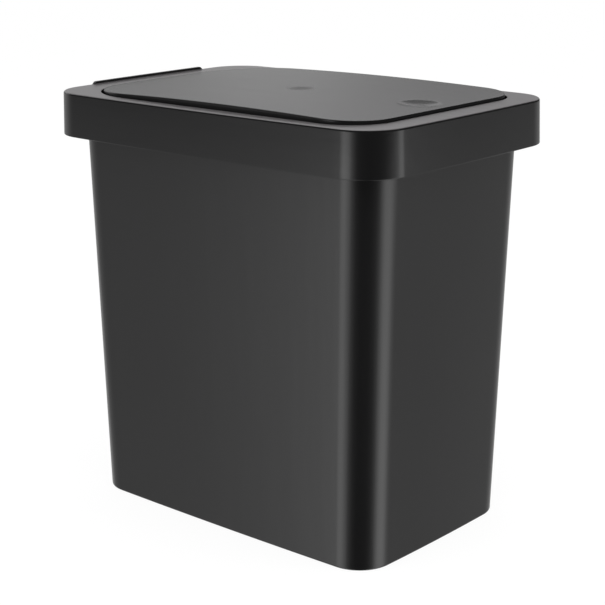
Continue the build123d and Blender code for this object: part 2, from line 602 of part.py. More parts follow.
def make_screw(length):
    """Pan-head screw along Z, its head's seat at the origin and its shank downwards."""
    shank = post(SCREW_DIAMETER, 0, 0, -length, 0)
    shank = chamfer(shank.edges().filter_by(GeomType.CIRCLE).group_by(Axis.Z)[0], SCREW_DIAMETER / 4)
    head = post(SCREW_HEAD_DIAMETER, 0, 0, 0, SCREW_HEAD_HEIGHT)
    head = fillet(head.edges().filter_by(GeomType.CIRCLE).group_by(Axis.Z)[-1], SCREW_HEAD_HEIGHT / 2)
    slot = SCREW_HEAD_HEIGHT / 3
    wide = SCREW_HEAD_DIAMETER / 3
    cross = block(-wide, wide, -slot / 2, slot / 2, slot, SCREW_HEAD_HEIGHT)
    cross += block(-slot / 2, slot / 2, -wide, wide, slot, SCREW_HEAD_HEIGHT)
    return shank + head - cross


def make_latch_screws():
    """Two screws through the cartridge's flange into the shelf."""
    return both_sides(Pos(LATCH_SCREW_X, LATCH_Y, FLANGE_TOP) * make_screw(LATCH_SCREW_LENGTH))


def make_striker_screws():
    """Two screws, heads down, through the striker into the flap's bosses."""
    screw = Rot(180, 0, 0) * make_screw(STRIKER_SCREW_LENGTH)
    front, back = STRIKER_SCREW_Y
    return Pos(0, front, STRIKER_PLATE_LOW) * screw + Pos(0, back, STRIKER_PLATE_LOW) * screw


def save(name, solid):
    """Write one sub-part, named after its node."""
    export_step(solid, os.path.join("parts", name + ".step"))


os.makedirs("parts", exist_ok=True)
right_spring = make_hinge_spring()
save("bin_body", make_bin_body())
save("lid_frame", make_lid_frame())
save("flap", make_flap())
save("hinge_pin_right", make_hinge_pin(1))
save("hinge_pin_left", make_hinge_pin(-1))
save("pin_retainers", make_pin_retainers())
save("hinge_spring_right", right_spring)
save("hinge_spring_left", mirror(right_spring, Plane.YZ))
save("latch_housing", make_latch_housing())
save("latch_cover", make_latch_cover())
save("latch_slider", make_latch_slider())
save("latch_spring", make_latch_spring())
save("latch_follower", make_latch_follower())
save("latch_screws", make_latch_screws())
save("striker", make_striker())
save("striker_screws", make_striker_screws())
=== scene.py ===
"""Push-top waste bin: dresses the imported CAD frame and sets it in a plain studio."""

import math

import bpy
import numpy as np
from mathutils import Matrix, Vector


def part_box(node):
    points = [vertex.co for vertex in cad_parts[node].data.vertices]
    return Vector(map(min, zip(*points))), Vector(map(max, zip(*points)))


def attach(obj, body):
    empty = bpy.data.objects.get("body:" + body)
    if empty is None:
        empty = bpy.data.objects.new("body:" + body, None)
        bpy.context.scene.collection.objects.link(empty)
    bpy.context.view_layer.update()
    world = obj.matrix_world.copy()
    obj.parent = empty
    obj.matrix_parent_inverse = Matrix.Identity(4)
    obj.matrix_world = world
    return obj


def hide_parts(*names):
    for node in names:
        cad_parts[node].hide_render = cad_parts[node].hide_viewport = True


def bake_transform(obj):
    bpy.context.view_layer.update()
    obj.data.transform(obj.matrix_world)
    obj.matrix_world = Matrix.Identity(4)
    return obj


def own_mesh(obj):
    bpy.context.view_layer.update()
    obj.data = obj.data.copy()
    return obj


bl_info = {
    "name": "Push-Top Waste Bin",
    "version": (1, 0, 0),
    "blender": (4, 5, 0),
    "location": "View3D > Sidebar > Waste Bin",
    "description": "Builds the mouldings, springs and finishes of a push-top waste bin and its studio",
    "category": "Object",
}

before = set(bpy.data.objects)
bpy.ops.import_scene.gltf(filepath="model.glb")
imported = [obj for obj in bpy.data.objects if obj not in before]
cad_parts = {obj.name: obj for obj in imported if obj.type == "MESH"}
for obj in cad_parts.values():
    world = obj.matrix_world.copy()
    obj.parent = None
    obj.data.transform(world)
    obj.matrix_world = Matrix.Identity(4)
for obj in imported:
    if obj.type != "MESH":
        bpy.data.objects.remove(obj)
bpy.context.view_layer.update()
LID_LOW, LID_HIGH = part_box("lid_frame")
LID_WIDTH = LID_HIGH.x - LID_LOW.x
LID_LENGTH = LID_HIGH.y - LID_LOW.y
FLAP_LOW, FLAP_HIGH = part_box("flap")
CROWN_MIDDLE = (FLAP_HIGH.y + FLAP_LOW.y) / 2
# How far in front of the solid's back edge the photograph's flap ends
FLAP_SHORTER = 0.0035
FLAP_END = FLAP_HIGH.y - FLAP_SHORTER
FLAP_HALF = (FLAP_END - FLAP_LOW.y) / 2
FLAP_MIDDLE = (FLAP_END + FLAP_LOW.y) / 2
LAND_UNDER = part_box("bin_body")[1].z
PRESS_Y = sum(corner.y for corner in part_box("striker")) / 2
HINGE_Y = sum(corner.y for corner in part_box("hinge_pin_right")) / 2
HINGE_Z = sum(corner.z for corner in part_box("hinge_pin_right")) / 2
TURN = 2 * math.pi


# Property helpers


def length(name, description, default):
    """A length in metres."""
    return bpy.props.FloatProperty(
        name=name, description=description, default=default, subtype="DISTANCE", unit="LENGTH", precision=5
    )


def angle(name, description, degrees):
    """An angle, given in degrees and kept in radians."""
    return bpy.props.FloatProperty(
        name=name, description=description, default=math.radians(degrees), subtype="ANGLE", unit="ROTATION"
    )


def share(name, description, default):
    """A share between 0 and 1."""
    return bpy.props.FloatProperty(
        name=name, description=description, default=default, subtype="FACTOR", min=0.0, max=1.0
    )


def level(name, description, default):
    """A plain number, such as a lamp's power or a light level."""
    return bpy.props.FloatProperty(name=name, description=description, default=default, min=0.0)


def colour(name, description, default):
    """A linear colour."""
    return bpy.props.FloatVectorProperty(
        name=name, description=description, default=default, subtype="COLOR", size=3, min=0.0, max=1.0
    )


# Outlines


# Points along an outline's arcs, and stations round an edge
SIDE_STEPS = 20
CORNER_STEPS = 18
END_STEPS = 14
CIRCLE_STEPS = 48
ROUND_STEPS = 5
# Bow of a side that is as good as straight
STRAIGHT = 1e-5
# Least divisor
TINY = 1e-9


def spokes(angles):
    """Unit directions at angles: (cos, sin)."""
    return np.stack([np.cos(angles), np.sin(angles)], 1)


def all_round(quarter):
    """Mirrors a quarter outline, from the +X side's middle to the +Y end's middle, into a closed loop."""
    flipped = quarter[:0:-1] * (-1, 1)
    half = np.vstack([quarter[:-1], flipped])
    return np.vstack([half, -half])


def bowed_loop(width, long, corner, side_bow=STRAIGHT, end_bow=STRAIGHT, shift=0.0):
    """Closed outline of a rounded rectangle whose sides bow outwards.

    Each side is the arc through its sharp corners and its middle, so its radius is (half side squared plus bow
    squared) over twice the bow. A corner's centre lies one corner radius inside both neighbouring arcs, where
    two circles about their centres cross. Points are each arc's centre plus its radius times (cos, sin).
    """
    half_x = width / 2 - side_bow
    half_y = long / 2 - end_bow
    side_radius = (half_y**2 + side_bow**2) / (2 * side_bow)
    end_radius = (half_x**2 + end_bow**2) / (2 * end_bow)
    side_centre = np.array([width / 2 - side_radius, 0.0])
    end_centre = np.array([0.0, long / 2 - end_radius])
    between = end_centre - side_centre
    apart = math.hypot(*between)
    reach_side = side_radius - corner
    reach_end = end_radius - corner
    along = (reach_side**2 - reach_end**2 + apart**2) / (2 * apart)
    across = math.sqrt(reach_side**2 - along**2)
    unit = between / apart
    outwards = np.array([unit[1], -unit[0]])
    outwards *= np.sign(outwards.sum())
    corner_centre = side_centre + along * unit + across * outwards
    first = math.atan2(*(corner_centre - side_centre)[::-1])
    second = math.atan2(*(corner_centre - end_centre)[::-1])
    arcs = [
        (side_centre, side_radius, np.linspace(0, first, SIDE_STEPS, endpoint=False)),
        (corner_centre, corner, np.linspace(first, second, CORNER_STEPS, endpoint=False)),
        (end_centre, end_radius, np.linspace(second, TURN / 4, END_STEPS + 1)),
    ]
    quarter = np.vstack([centre + radius * spokes(angles) for centre, radius, angles in arcs])
    return all_round(quarter) + (0.0, shift)


def ring(loop, z):
    """A loop lifted to a height, which may be one number or one for each point."""
    return np.column_stack([loop, np.broadcast_to(z, len(loop))])


def quarter_turn(start, end, steps):
    """Sines and cosines of evenly spaced angles, given in quarter turns, for rounding an edge."""
    a = np.linspace(start, end, steps) * TURN / 4
    return np.sin(a), np.cos(a)


def soften(corners):
    """Profile through corners given as (across, up, radius), each rounded by an arc.

    With t the turn at a corner, the arc starts and ends radius times tan(t / 2) from it, and its centre lies
    radius over cos(t / 2) from it towards the inside. A share s of the way round, the arm from the centre is
    (sin((1 - s) t) times the first arm plus sin(s t) times the last) over sin t. The ends stay as given.
    """
    corners = np.asarray(corners, float)
    place, radii = corners[:, :2], corners[:, 2]
    stations = [place[:1]]
    share_round = np.linspace(0, 1, ROUND_STEPS)[:, None]
    for before, corner, after, radius in zip(place[:-2], place[1:-1], place[2:], radii[1:-1]):
        into = (corner - before) / np.linalg.norm(corner - before)
        away = (after - corner) / np.linalg.norm(after - corner)
        turn = math.acos(into @ away)
        inwards = (away - into) / np.linalg.norm(away - into)
        centre = corner + inwards * radius / math.cos(turn / 2)
        first = corner - radius * math.tan(turn / 2) * into - centre
        last = corner + radius * math.tan(turn / 2) * away - centre
        arms = np.sin((1 - share_round) * turn) * first + np.sin(share_round * turn) * last
        stations.append(centre + arms / math.sin(turn))
    return np.vstack([*stations, place[-1:]])


# Shells: closed surfaces as (points, quads, triangles)


NO_TRIANGLES = np.zeros((0, 3), int)
# Stations round a slab's edge and a wire's end, and points round a wire and for each turn of a coil
SLAB_STEPS = 4
DOME_STEPS = 4
WIRE_SIDES = 14
COIL_STEPS = 32


def skin(rings, joined=False):
    """Surface through a stack of closed rings of equal length.

    The point (i, j) is ring i's point j, and each quad joins (i, j), (i+1, j), (i+1, j+1) and (i, j+1). A
    joined stack's last ring meets its first. Any other stack gets a fan to the middle of each end's ring.
    """
    rings = np.asarray(rings, float)
    count, around = rings.shape[:2]
    index = np.arange(count * around).reshape(count, around)
    lower = np.vstack([index, index[:1]]) if joined else index
    beside = np.roll(lower, -1, axis=1)
    quads = np.stack([lower[:-1], lower[1:], beside[1:], beside[:-1]], -1).reshape(-1, 4)
    points = rings.reshape(-1, 3)
    if joined:
        return points, quads, NO_TRIANGLES
    hub = np.full(around, len(points))
    fans = [np.stack([hub, index[0], beside[0]], 1), np.stack([index[-1], hub + 1, beside[-1]], 1)]
    return np.vstack([points, rings[0].mean(0), rings[-1].mean(0)]), quads, np.vstack(fans)


def edge_of(grid):
    """A grid's border, counter-clockwise from its first corner. Works on points and on their numbers."""
    return np.concatenate([grid[0, :-1], grid[:-1, -1], grid[-1, :0:-1], grid[:0:-1, 0]])


def crate(top, rings, bottom):
    """Closed surface from a top grid, through rings that follow its border, down to a bottom grid.

    The point (i, j) of a grid lies in row i along Y and column j along X. The top's quads join (i, j),
    (i, j+1), (i+1, j+1) and (i+1, j), the bottom's run the other way, and the rings join the borders.
    """
    rows, columns = top.shape[:2]
    upper = np.arange(rows * columns).reshape(rows, columns)
    around = np.arange(len(rings) * len(rings[0])).reshape(len(rings), -1) + rows * columns
    lower = upper + around[-1, -1] + 1
    loops = np.vstack([edge_of(upper)[None], around, edge_of(lower)[None]])
    beside = np.roll(loops, -1, axis=1)
    walls = [loops[:-1], loops[1:], beside[1:], beside[:-1]]
    cover = [upper[:-1, :-1], upper[:-1, 1:], upper[1:, 1:], upper[1:, :-1]]
    under = [lower[:-1, :-1], lower[1:, :-1], lower[1:, 1:], lower[:-1, 1:]]
    quads = [np.stack(corners, -1).reshape(-1, 4) for corners in (walls, cover, under)]
    points = [top.reshape(-1, 3), np.reshape(rings, (-1, 3)), bottom.reshape(-1, 3)]
    return np.vstack(points), np.vstack(quads), NO_TRIANGLES


def together(*shells):
    """Several shells as one."""
    points, quads, triangles, start = [], [], [], 0
    for p, q, t in shells:
        points.append(p)
        quads.append(q + start)
        triangles.append(t + start)
        start += len(p)
    return np.vstack(points), np.vstack(quads), np.vstack(triangles)


def mirrored(shell):
    """The shell's mirror image across x = 0, with its faces turned back outwards."""
    points, quads, triangles = shell
    return points * (-1, 1, 1), quads[:, ::-1], triangles[:, ::-1]


def both_sides(shell):
    """The shell and its mirror image."""
    return together(shell, mirrored(shell))


def slab(outline, low, high, edge):
    """Plate with rounded edges. outline(inset) gives its loop, and low and high its two faces' heights.

    The rounding is a quarter circle of the edge's radius: the inset is edge times (1 - cos a), and the height
    lies edge times (1 - sin a) inside the face.
    """
    sine, cosine = quarter_turn(1, 0, SLAB_STEPS)
    stations = list(zip(edge * (1 - cosine), edge * (1 - sine)))
    top = [ring(outline(inset), high - sunk) for inset, sunk in stations]
    bottom = [ring(outline(inset), low + sunk) for inset, sunk in stations]
    return skin([*top, *bottom[::-1]])


def bar_outline(x0, x1, y0, y1, corner):
    """Outline function of a rounded rectangle between two corners, taken inset inside its edge."""

    def outline(inset):
        loop = bowed_loop(x1 - x0 - 2 * inset, y1 - y0 - 2 * inset, max(corner - inset, corner / 4))
        return loop + ((x0 + x1) / 2, (y0 + y1) / 2)

    return outline


def disc_outline(radius, centre):
    """Outline function of a circle, taken inset inside its edge: centre plus radius times (cos, sin)."""
    directions = spokes(np.linspace(0, TURN, CIRCLE_STEPS, endpoint=False))
    return lambda inset: directions * (radius - inset) + centre


def collar_ring(outer, bore, x0, x1, y, z, edge):
    """Ring or lug about an axis along X, between x0 and x1, with a bore.

    outer is the distance from the axis at each angle, so the section is any outline seen from the axis. The
    profile runs out across one face, along the outside and back across the other face, with rounded corners
    whose middle lies 0.3 of the edge inside both faces.
    """
    along, up = spokes(np.linspace(0, TURN, len(outer), endpoint=False)).T
    shy = edge * 0.3
    stations = [
        (bore, x0), (outer - edge, x0), (outer - shy, x0 + shy), (outer, x0 + edge),
        (outer, x1 - edge), (outer - shy, x1 - shy), (outer - edge, x1), (bore, x1),
    ]
    rings = [np.stack([np.full(len(up), x), y + r * along, z + r * up], 1) for r, x in stations]
    return skin(rings[::-1], joined=True)


def tube(path, radius):
    """Round wire along a path, with domed ends.

    At each point the section is a circle square to the path's tangent. Its first direction is the part of a
    fixed slanting vector that is square to the tangent, and the second is the cross product of the two. The
    ends are quarter domes: the radius times cos b, set out along the path by the radius times sin b.
    """
    reach = np.append(0, np.cumsum(np.linalg.norm(np.diff(path, axis=0), axis=1)))
    tangent = np.gradient(path, reach, axis=0)
    tangent /= np.linalg.norm(tangent, axis=1, keepdims=True)
    slant = np.array([1.0, 0.9, 0.8]) / math.sqrt(2.45)
    first = slant - (tangent @ slant)[:, None] * tangent
    first /= np.linalg.norm(first, axis=1, keepdims=True)
    second = np.cross(tangent, first)
    a = np.linspace(0, TURN, WIRE_SIDES, endpoint=False)
    spoke = np.cos(a)[None, :, None] * first[:, None] + np.sin(a)[None, :, None] * second[:, None]
    body = path[:, None] + radius * spoke
    sine, cosine = quarter_turn(0.9, 0.1, DOME_STEPS)
    start, end = (
        [path[i] + way * radius * s * tangent[i] + radius * c * spoke[i] for s, c in zip(sine, cosine)]
        for i, way in ((0, -1), (-1, 1))
    )
    return skin([*end, *body[::-1], *start[::-1]])


def make_piece(name, shell, body, slot, *nodes):
    """Makes a mesh object from a shell, lets it ride on a body and stand for its CAD nodes."""
    points, quads, triangles = shell
    mesh = bpy.data.meshes.new(name)
    mesh.from_pydata(points.tolist(), [], quads.tolist() + triangles.tolist())
    mesh.shade_smooth()
    mesh.validate()
    piece = bpy.data.objects.new(name, mesh)
    bpy.context.scene.collection.objects.link(piece)
    even = piece.modifiers.new("Even normals", "WEIGHTED_NORMAL")
    even.keep_sharp = True
    if body:
        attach(piece, body)
    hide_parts(*nodes)
    return piece


# Materials


# Kinds of ray that see a surface: straight, in a mirror and through glass
RAYS = ("Is Camera Ray", "Is Glossy Ray", "Is Transmission Ray")
DUST_TINT = (0.3, 0.29, 0.28)
# Stretch of the flow marks that run along the bin, or up it
FLOW_ALONG = (1.0, 0.1, 1.0)
FLOW_UP = (1.0, 1.0, 0.08)
# The level land: how near its height a face has to be, its painted light (a lighter colour that stands in for
# the overhead light falling on it), and what it adds to the roughness
LAND_BAND = 0.0004
# Painted highlight: the land's colour is lighter than the moulding to stand in for the overhead light on it
LAND_PAINTED_LIGHT = (0.098, 0.093, 0.096)
LAND_DULLER = 0.1
# The duller patch round the gate mark: its place along the bin, its spread, and what it adds to the roughness
GATE_PATCH_Y = -0.004
GATE_SPREAD = 0.013
GATE_DULLER = 0.16
# Depths of the flow marks, and of the grain of moulded black, acetal and steel
MARK_DEPTH = 0.00006
GRAIN_DEPTH = 0.000006
FINE_DEPTH = 0.000004


class Term:
    """A number that runs through a material's nodes, so that shader maths reads as plain expressions."""

    def __init__(self, sheet, socket):
        self.sheet = sheet
        self.socket = socket

    def _with(self, operation, first, second):
        return self.sheet.node("ShaderNodeMath", {"operation": operation}, {0: first, 1: second})

    def __add__(self, other):
        return self._with("ADD", self, other)

    def __sub__(self, other):
        return self._with("SUBTRACT", self, other)

    def __rsub__(self, other):
        return self._with("SUBTRACT", other, self)

    def __mul__(self, other):
        return self._with("MULTIPLY", self, other)

    def __truediv__(self, other):
        return self._with("DIVIDE", self, other)

    def __gt__(self, other):
        return self._with("GREATER_THAN", self, other)

    def __lt__(self, other):
        return self._with("LESS_THAN", self, other)

    __radd__ = __add__
    __rmul__ = __mul__


class Sheet:
    """The node tree of a material or the world."""

    def __init__(self, owner):
        owner.use_nodes = True
        self.tree = owner.node_tree
        self.tree.nodes.clear()

    def node(self, kind, settings, sockets, output=0):
        """Adds a node: its settings first, then the values or links of its sockets. Returns one output."""
        node = self.tree.nodes.new(kind)
        for key, value in settings.items():
            if key == "stops":
                self._set_stops(node.color_ramp, value)
            else:
                setattr(node, key, value)
        for key, value in sockets.items():
            if isinstance(value, Term):
                self.tree.links.new(value.socket, node.inputs[key])
            else:
                node.inputs[key].default_value = value
        return Term(self, node.outputs[output]) if len(node.outputs) else None

    def _set_stops(self, ramp, stops):
        """Gives a ramp its stops, as pairs of a position and a grey level."""
        ramp.interpolation = "EASE"
        while len(ramp.elements) < len(stops):
            ramp.elements.new(1.0)
        for element, (position, light) in zip(ramp.elements, stops):
            element.position = position
            element.color = grey(light)

    def place(self, scale=(1.0, 1.0, 1.0)):
        """Object coordinates, stretched by a scale along each axis."""
        where = self.node("ShaderNodeTexCoord", {}, {}, "Object")
        return self.node("ShaderNodeMapping", {}, {"Vector": where, "Scale": scale})

    def noise(self, scale, stretch=(1.0, 1.0, 1.0), detail=2.0):
        """Noise between 0 and 1, with its scale in cells for each metre."""
        sockets = {"Vector": self.place(stretch), "Scale": scale, "Detail": detail}
        return self.node("ShaderNodeTexNoise", {}, sockets)

    def split(self, vector):
        """A vector's three coordinates."""
        x = self.node("ShaderNodeSeparateXYZ", {}, {"Vector": vector})
        return [Term(self, output) for output in x.socket.node.outputs]

    def mix(self, factor, first, second):
        """Colour that goes from the first to the second as the factor goes from 0 to 1."""
        return self.node("ShaderNodeMix", {"data_type": "RGBA"}, {0: factor, 6: first, 7: second}, 2)

    def smooth(self, value, start, end):
        """0 up to the start and 1 from the end on, with a smooth step between them."""
        sockets = {"Value": value, "From Min": start, "From Max": end, "To Min": 0.0, "To Max": 1.0}
        return self.node("ShaderNodeMapRange", {"interpolation_type": "SMOOTHSTEP"}, sockets)

    def rays(self):
        """For each kind in RAYS, 1 where the ray is of that kind and 0 elsewhere."""
        return [self.node("ShaderNodeLightPath", {}, {}, kind) for kind in RAYS]

    def bump(self, height, distance, normal=None):
        """Normal of a surface that is raised by up to a distance where the height is 1."""
        sockets = {"Height": height, "Distance": distance, "Strength": 1.0}
        if normal:
            sockets["Normal"] = normal
        return self.node("ShaderNodeBump", {}, sockets)


def rgba(tint, factor=1.0):
    """A colour with full alpha, brightened or darkened by a factor."""
    return (*(channel * factor for channel in tint), 1.0)


def grey(light):
    """An even grey with full alpha."""
    return (light, light, light, 1.0)


def new_material(name):
    """An empty material and its sheet."""
    material = bpy.data.materials.new(name)
    return material, Sheet(material)


def finish_surface(sheet, sockets):
    """Ends a material with a Principled surface."""
    shader = sheet.node("ShaderNodeBsdfPrincipled", {}, sockets)
    sheet.node("ShaderNodeOutputMaterial", {}, {"Surface": shader})


def dust(sheet, spacing, size, rarity):
    """Mask of sparse specks: cells whose random colour is above the rarity hold one speck of the size."""
    cells = {"Vector": sheet.place(), "Scale": 1 / spacing, "Randomness": 1.0}
    near = sheet.node("ShaderNodeTexVoronoi", {}, cells, "Distance") < size / spacing
    pick = sheet.node("ShaderNodeTexVoronoi", {}, cells, "Color")
    chosen = sheet.node("ShaderNodeSeparateColor", {}, {0: pick}) > rarity
    return near * chosen


def moulded_black(name, tint, roughness, flow, land_height=None, gate_y=None):
    """Black moulded plastic: grain of the tool, faint flow marks along one axis and a few specks of dust.

    At the land height, if there is one, a level face is duller and painted lighter, a painted highlight for the
    overhead light that falls on the land. Round the gate, if its place is given, the surface is duller: 1 less
    a smooth step of the distance squared over the spread squared, taken squared.
    """
    material, sheet = new_material(name)
    broad = sheet.noise(9.0)
    marks = sheet.noise(90.0, flow, detail=4.0)
    grain = sheet.noise(2200.0)
    specks = dust(sheet, spacing=0.03, size=0.0004, rarity=0.86)
    base = sheet.mix(broad, rgba(tint, 0.9), rgba(tint, 1.12))
    base = sheet.mix(specks, base, rgba(DUST_TINT))
    rough = roughness - 0.03 + broad * 0.03 + marks * 0.03 + specks * 0.3
    if land_height:
        z = sheet.split(sheet.place())[2]
        on_land = (z > land_height - LAND_BAND) * (z < land_height + LAND_BAND)
        # Painted light: the level land is painted lighter to stand in for the overhead light on it; the added
        # roughness is real
        base = sheet.mix(on_land, base, rgba(LAND_PAINTED_LIGHT))
        rough = rough + on_land * LAND_DULLER
    if gate_y is not None:
        x, y, _ = sheet.split(sheet.place())
        y = y - gate_y
        near = 1 - sheet.smooth((x * x + y * y) / GATE_SPREAD**2, 0.0, 1.0)
        rough = rough + near * near * GATE_DULLER
    normal = sheet.bump(grain, GRAIN_DEPTH, sheet.bump(marks, MARK_DEPTH))
    finish_surface(sheet, {"Base Color": base, "Roughness": rough, "Normal": normal, "IOR": 1.49})
    return material


def moulded_plain(name, tint, roughness):
    """Unpainted acetal of the latch's pieces: a fine grain and slightly uneven gloss."""
    material, sheet = new_material(name)
    cloud = sheet.noise(160.0, detail=3.0)
    grain = sheet.noise(3500.0)
    base = sheet.mix(cloud, rgba(tint, 0.94), rgba(tint, 1.05))
    rough = roughness - 0.05 + cloud * 0.1
    normal = sheet.bump(grain, FINE_DEPTH)
    finish_surface(sheet, {"Base Color": base, "Roughness": rough, "Normal": normal, "IOR": 1.48})
    return material


def drawn_steel(name, tint, roughness, along):
    """Bright steel with fine lines drawn along one axis, a little duller where it was handled."""
    material, sheet = new_material(name)
    lines = sheet.noise(1500.0, along, detail=3.0)
    cloud = sheet.noise(220.0)
    base = sheet.mix(cloud, rgba(tint, 0.85), rgba(tint, 1.05))
    rough = roughness - 0.06 + lines * 0.06 + cloud * 0.08
    normal = sheet.bump(lines, FINE_DEPTH)
    finish_surface(sheet, {"Base Color": base, "Metallic": 1.0, "Roughness": rough, "Normal": normal})
    return material


def dress(material, *pieces):
    """Gives pieces their material in every slot."""
    for piece in pieces:
        slots = piece.data.materials
        slots.clear()
        slots.append(material)


# Sizes, finishes and light that a user would change


class LidSizes(bpy.types.PropertyGroup):
    """Sizes of the lid frame."""

    corner: length("Corner", "Radius of the skirt's corners at its lower edge", 0.0295)
    side_bow: length("Side bow", "How far the long sides bow outwards", 0.0035)
    end_bow: length("End bow", "How far the short ends bow outwards", 0.0016)
    draft: length("Draft", "How far the skirt leans in over its height", 0.0009)
    edge: length("Land edge", "Rounding between the land and the skirt", 0.0014)
    hem: length("Hem", "Rounding of the skirt's lower edge", 0.0006)
    wall: length("Wall", "Thickness of the skirt", 0.002)
    land: length("Land", "Thickness of the land round the opening", 0.0022)
    flap_gap: length("Flap gap", "Gap round the flap's front and sides", 0.0016)
    back_gap: length("Back gap", "Gap behind the flap", 0.0022)
    opening_front: length("Front corners", "Radius of the opening's front corners", 0.032)
    opening_back: length("Back corners", "Radius of the opening's back corners", 0.053)
    opening_edge: length("Opening edge", "Rounding of the opening's upper edge", 0.0006)
    well_depth: length("Well depth", "How far the well's wall reaches down from the land", 0.014)
    well_wall: length("Well wall", "Thickness of the well's wall", 0.002)
    rib_length: length("Rib length", "Length of the stop rib along the back edge", 0.116)
    rib_width: length("Rib width", "Width of the stop rib", 0.0026)
    rib_setback: length("Rib setback", "How far the stop rib stands inside the skirt's face", 0.00035)
    rib_slope: length("Rib slope", "How far the stop rib's ends lean in", 0.0045)


class BucketSizes(bpy.types.PropertyGroup):
    """Sizes of the bucket."""

    overhang: length("Overhang", "How far the lid's skirt stands out over the wall", 0.013)
    side_taper: length("Side taper", "How far each side draws in from the skirt's height to the base", 0.007)
    end_taper: length("End taper", "How far each end draws in from the skirt's height to the base", 0.0068)
    base_shift: length("Base shift", "How far the base lies behind the mouth", 0.0025)
    mouth_corner: length("Mouth corner", "Radius of the wall's corners at the skirt's height", 0.0265)
    base_corner: length("Base corner", "Radius of the wall's corners at the base", 0.0253)
    base_bow: length("Base bow", "How far the sides bow outwards at the base", 0.0016)
    wall: length("Wall", "Thickness of the wall", 0.0022)
    floor: length("Floor", "Height of the floor's upper face", 0.0055)
    foot: length("Foot", "Height of the foot that runs round the base", 0.003)
    foot_width: length("Foot width", "Width of the foot", 0.007)
    foot_edge: length("Foot edge", "Rounding of the base's outer edge", 0.0016)
    base_rib: length("Base rib", "Thickness of the ribs under the floor", 0.0016)
    shoulder: length("Shoulder", "How far the shoulder lies below the collar's rim", 0.0268)
    collar_inset: length("Collar inset", "How far the collar stands inside the skirt's outer face", 0.0035)


class FlapSizes(bpy.types.PropertyGroup):
    """Sizes of the flap."""

    crown: length("Crown", "Height of the top over the land at the middle", 0.00384)
    crown_front: length("Crown front", "Height of the top over the land at the front", 0.002)
    crown_back: length("Crown back", "Height of the top over the land at the back", 0.0004)
    front_corner: length("Front corners", "Radius of the flap's front corners", 0.0304)
    back_corner: length("Back corners", "Radius of the flap's back corners", 0.0511)
    edge: length("Edge", "Rounding of the top's edge", 0.0007)
    skin: length("Skin", "Thickness of the top", 0.0022)
    wall: length("Wall", "Thickness of the flap's own skirt", 0.002)
    drop: length("Drop", "How far the flap's skirt reaches below the land", 0.005)
    rib: length("Rib", "Thickness of the ribs under the top", 0.0016)
    rib_x: length("Rib place", "Distance of the long ribs from the middle", 0.032)
    dimple: length("Dimple", "Diameter of the press dimple", 0.029)
    dimple_depth: length("Dimple depth", "Depth of the press dimple", 0.0018)
    dimple_blend: length("Dimple blend", "How softly the dimple runs out into the top", 0.00012)
    gate_depth: length("Gate mark depth", "Depth of the shallow mark where the mould was filled", 0.00010)
    gate_size: length("Gate mark size", "Spread of the mark where the mould was filled", 0.004)
    pad: length("Press pad", "Diameter of the thicker pad under the dimple", 0.036)
    boss: length("Striker boss", "Diameter of the bosses that take the striker's screws", 0.007)


class HingeSizes(bpy.types.PropertyGroup):
    """Sizes of the hinge's bosses and springs."""

    frame_boss: length("Frame boss", "Diameter of the bosses outside the well's wall", 0.0076)
    flap_boss: length("Flap boss", "Diameter of the flap's bosses and lugs", 0.008)
    boss_length: length("Boss length", "Length of the flap's bosses from its side", 0.004)
    lug_spacing: length("Lug spacing", "Distance between a boss and its lug", 0.012)
    lug: length("Lug", "Thickness of a lug", 0.003)
    bore: length("Bore", "Diameter of the bores", 0.0041)
    wire: length("Wire", "Diameter of the springs' wire", 0.001)
    coil_radius: length("Coil radius", "Radius of the coils at the wire's middle", 0.0031)
    pitch: length("Pitch", "Distance from turn to turn", 0.0015)
    turns: level("Turns", "Turns from the hooked leg to the lifting leg", 5 + 0.75 + 25 / 360)
    hook: length("Hook", "Length of the leg that hooks under the well's wall", 0.008)
    lift: length("Lifting leg", "Length of the leg that lifts the flap", 0.015)


class LatchSizes(bpy.types.PropertyGroup):
    """Sizes of the latch's shelf and spring."""

    shelf_width: length("Shelf width", "Width of the shelf that carries the latch", 0.05)
    shelf: length("Shelf", "Thickness of the shelf", 0.0025)
    shelf_lip: length("Shelf lip", "How far the shelf reaches behind the latch's flange", 0.0015)
    shelf_rib: length("Shelf rib", "Height of the ribs along the shelf", 0.0035)
    fit: length("Fit", "Clearance round the cartridge in its window", 0.0003)
    wire: length("Wire", "Diameter of the latch spring's wire", 0.0009)
    coil_radius: length("Coil radius", "Radius of the latch spring at the wire's middle", 0.004)
    turns: level("Turns", "Turns of the latch spring", 5.0)


class Finishes(bpy.types.PropertyGroup):
    """Colours and gloss of the materials."""

    body: colour("Body", "Black plastic of the bucket and lid frame", (0.0075, 0.0074, 0.0076))
    flap: colour("Flap", "Black plastic of the flap", (0.0070, 0.0070, 0.0072))
    acetal_grey: colour("Latch grey", "Plastic of the latch's cartridge", (0.09, 0.092, 0.095))
    acetal_white: colour("Latch white", "Plastic of the slider and striker", (0.72, 0.71, 0.67))
    bright_steel: colour("Bright steel", "Pins and screws", (0.60, 0.60, 0.59))
    spring_steel: colour("Spring steel", "Springs and the follower", (0.42, 0.41, 0.40))
    body_gloss: share("Body roughness", "Roughness of the bucket and lid frame", 0.19)
    flap_gloss: share("Flap roughness", "Roughness of the flap", 0.24)


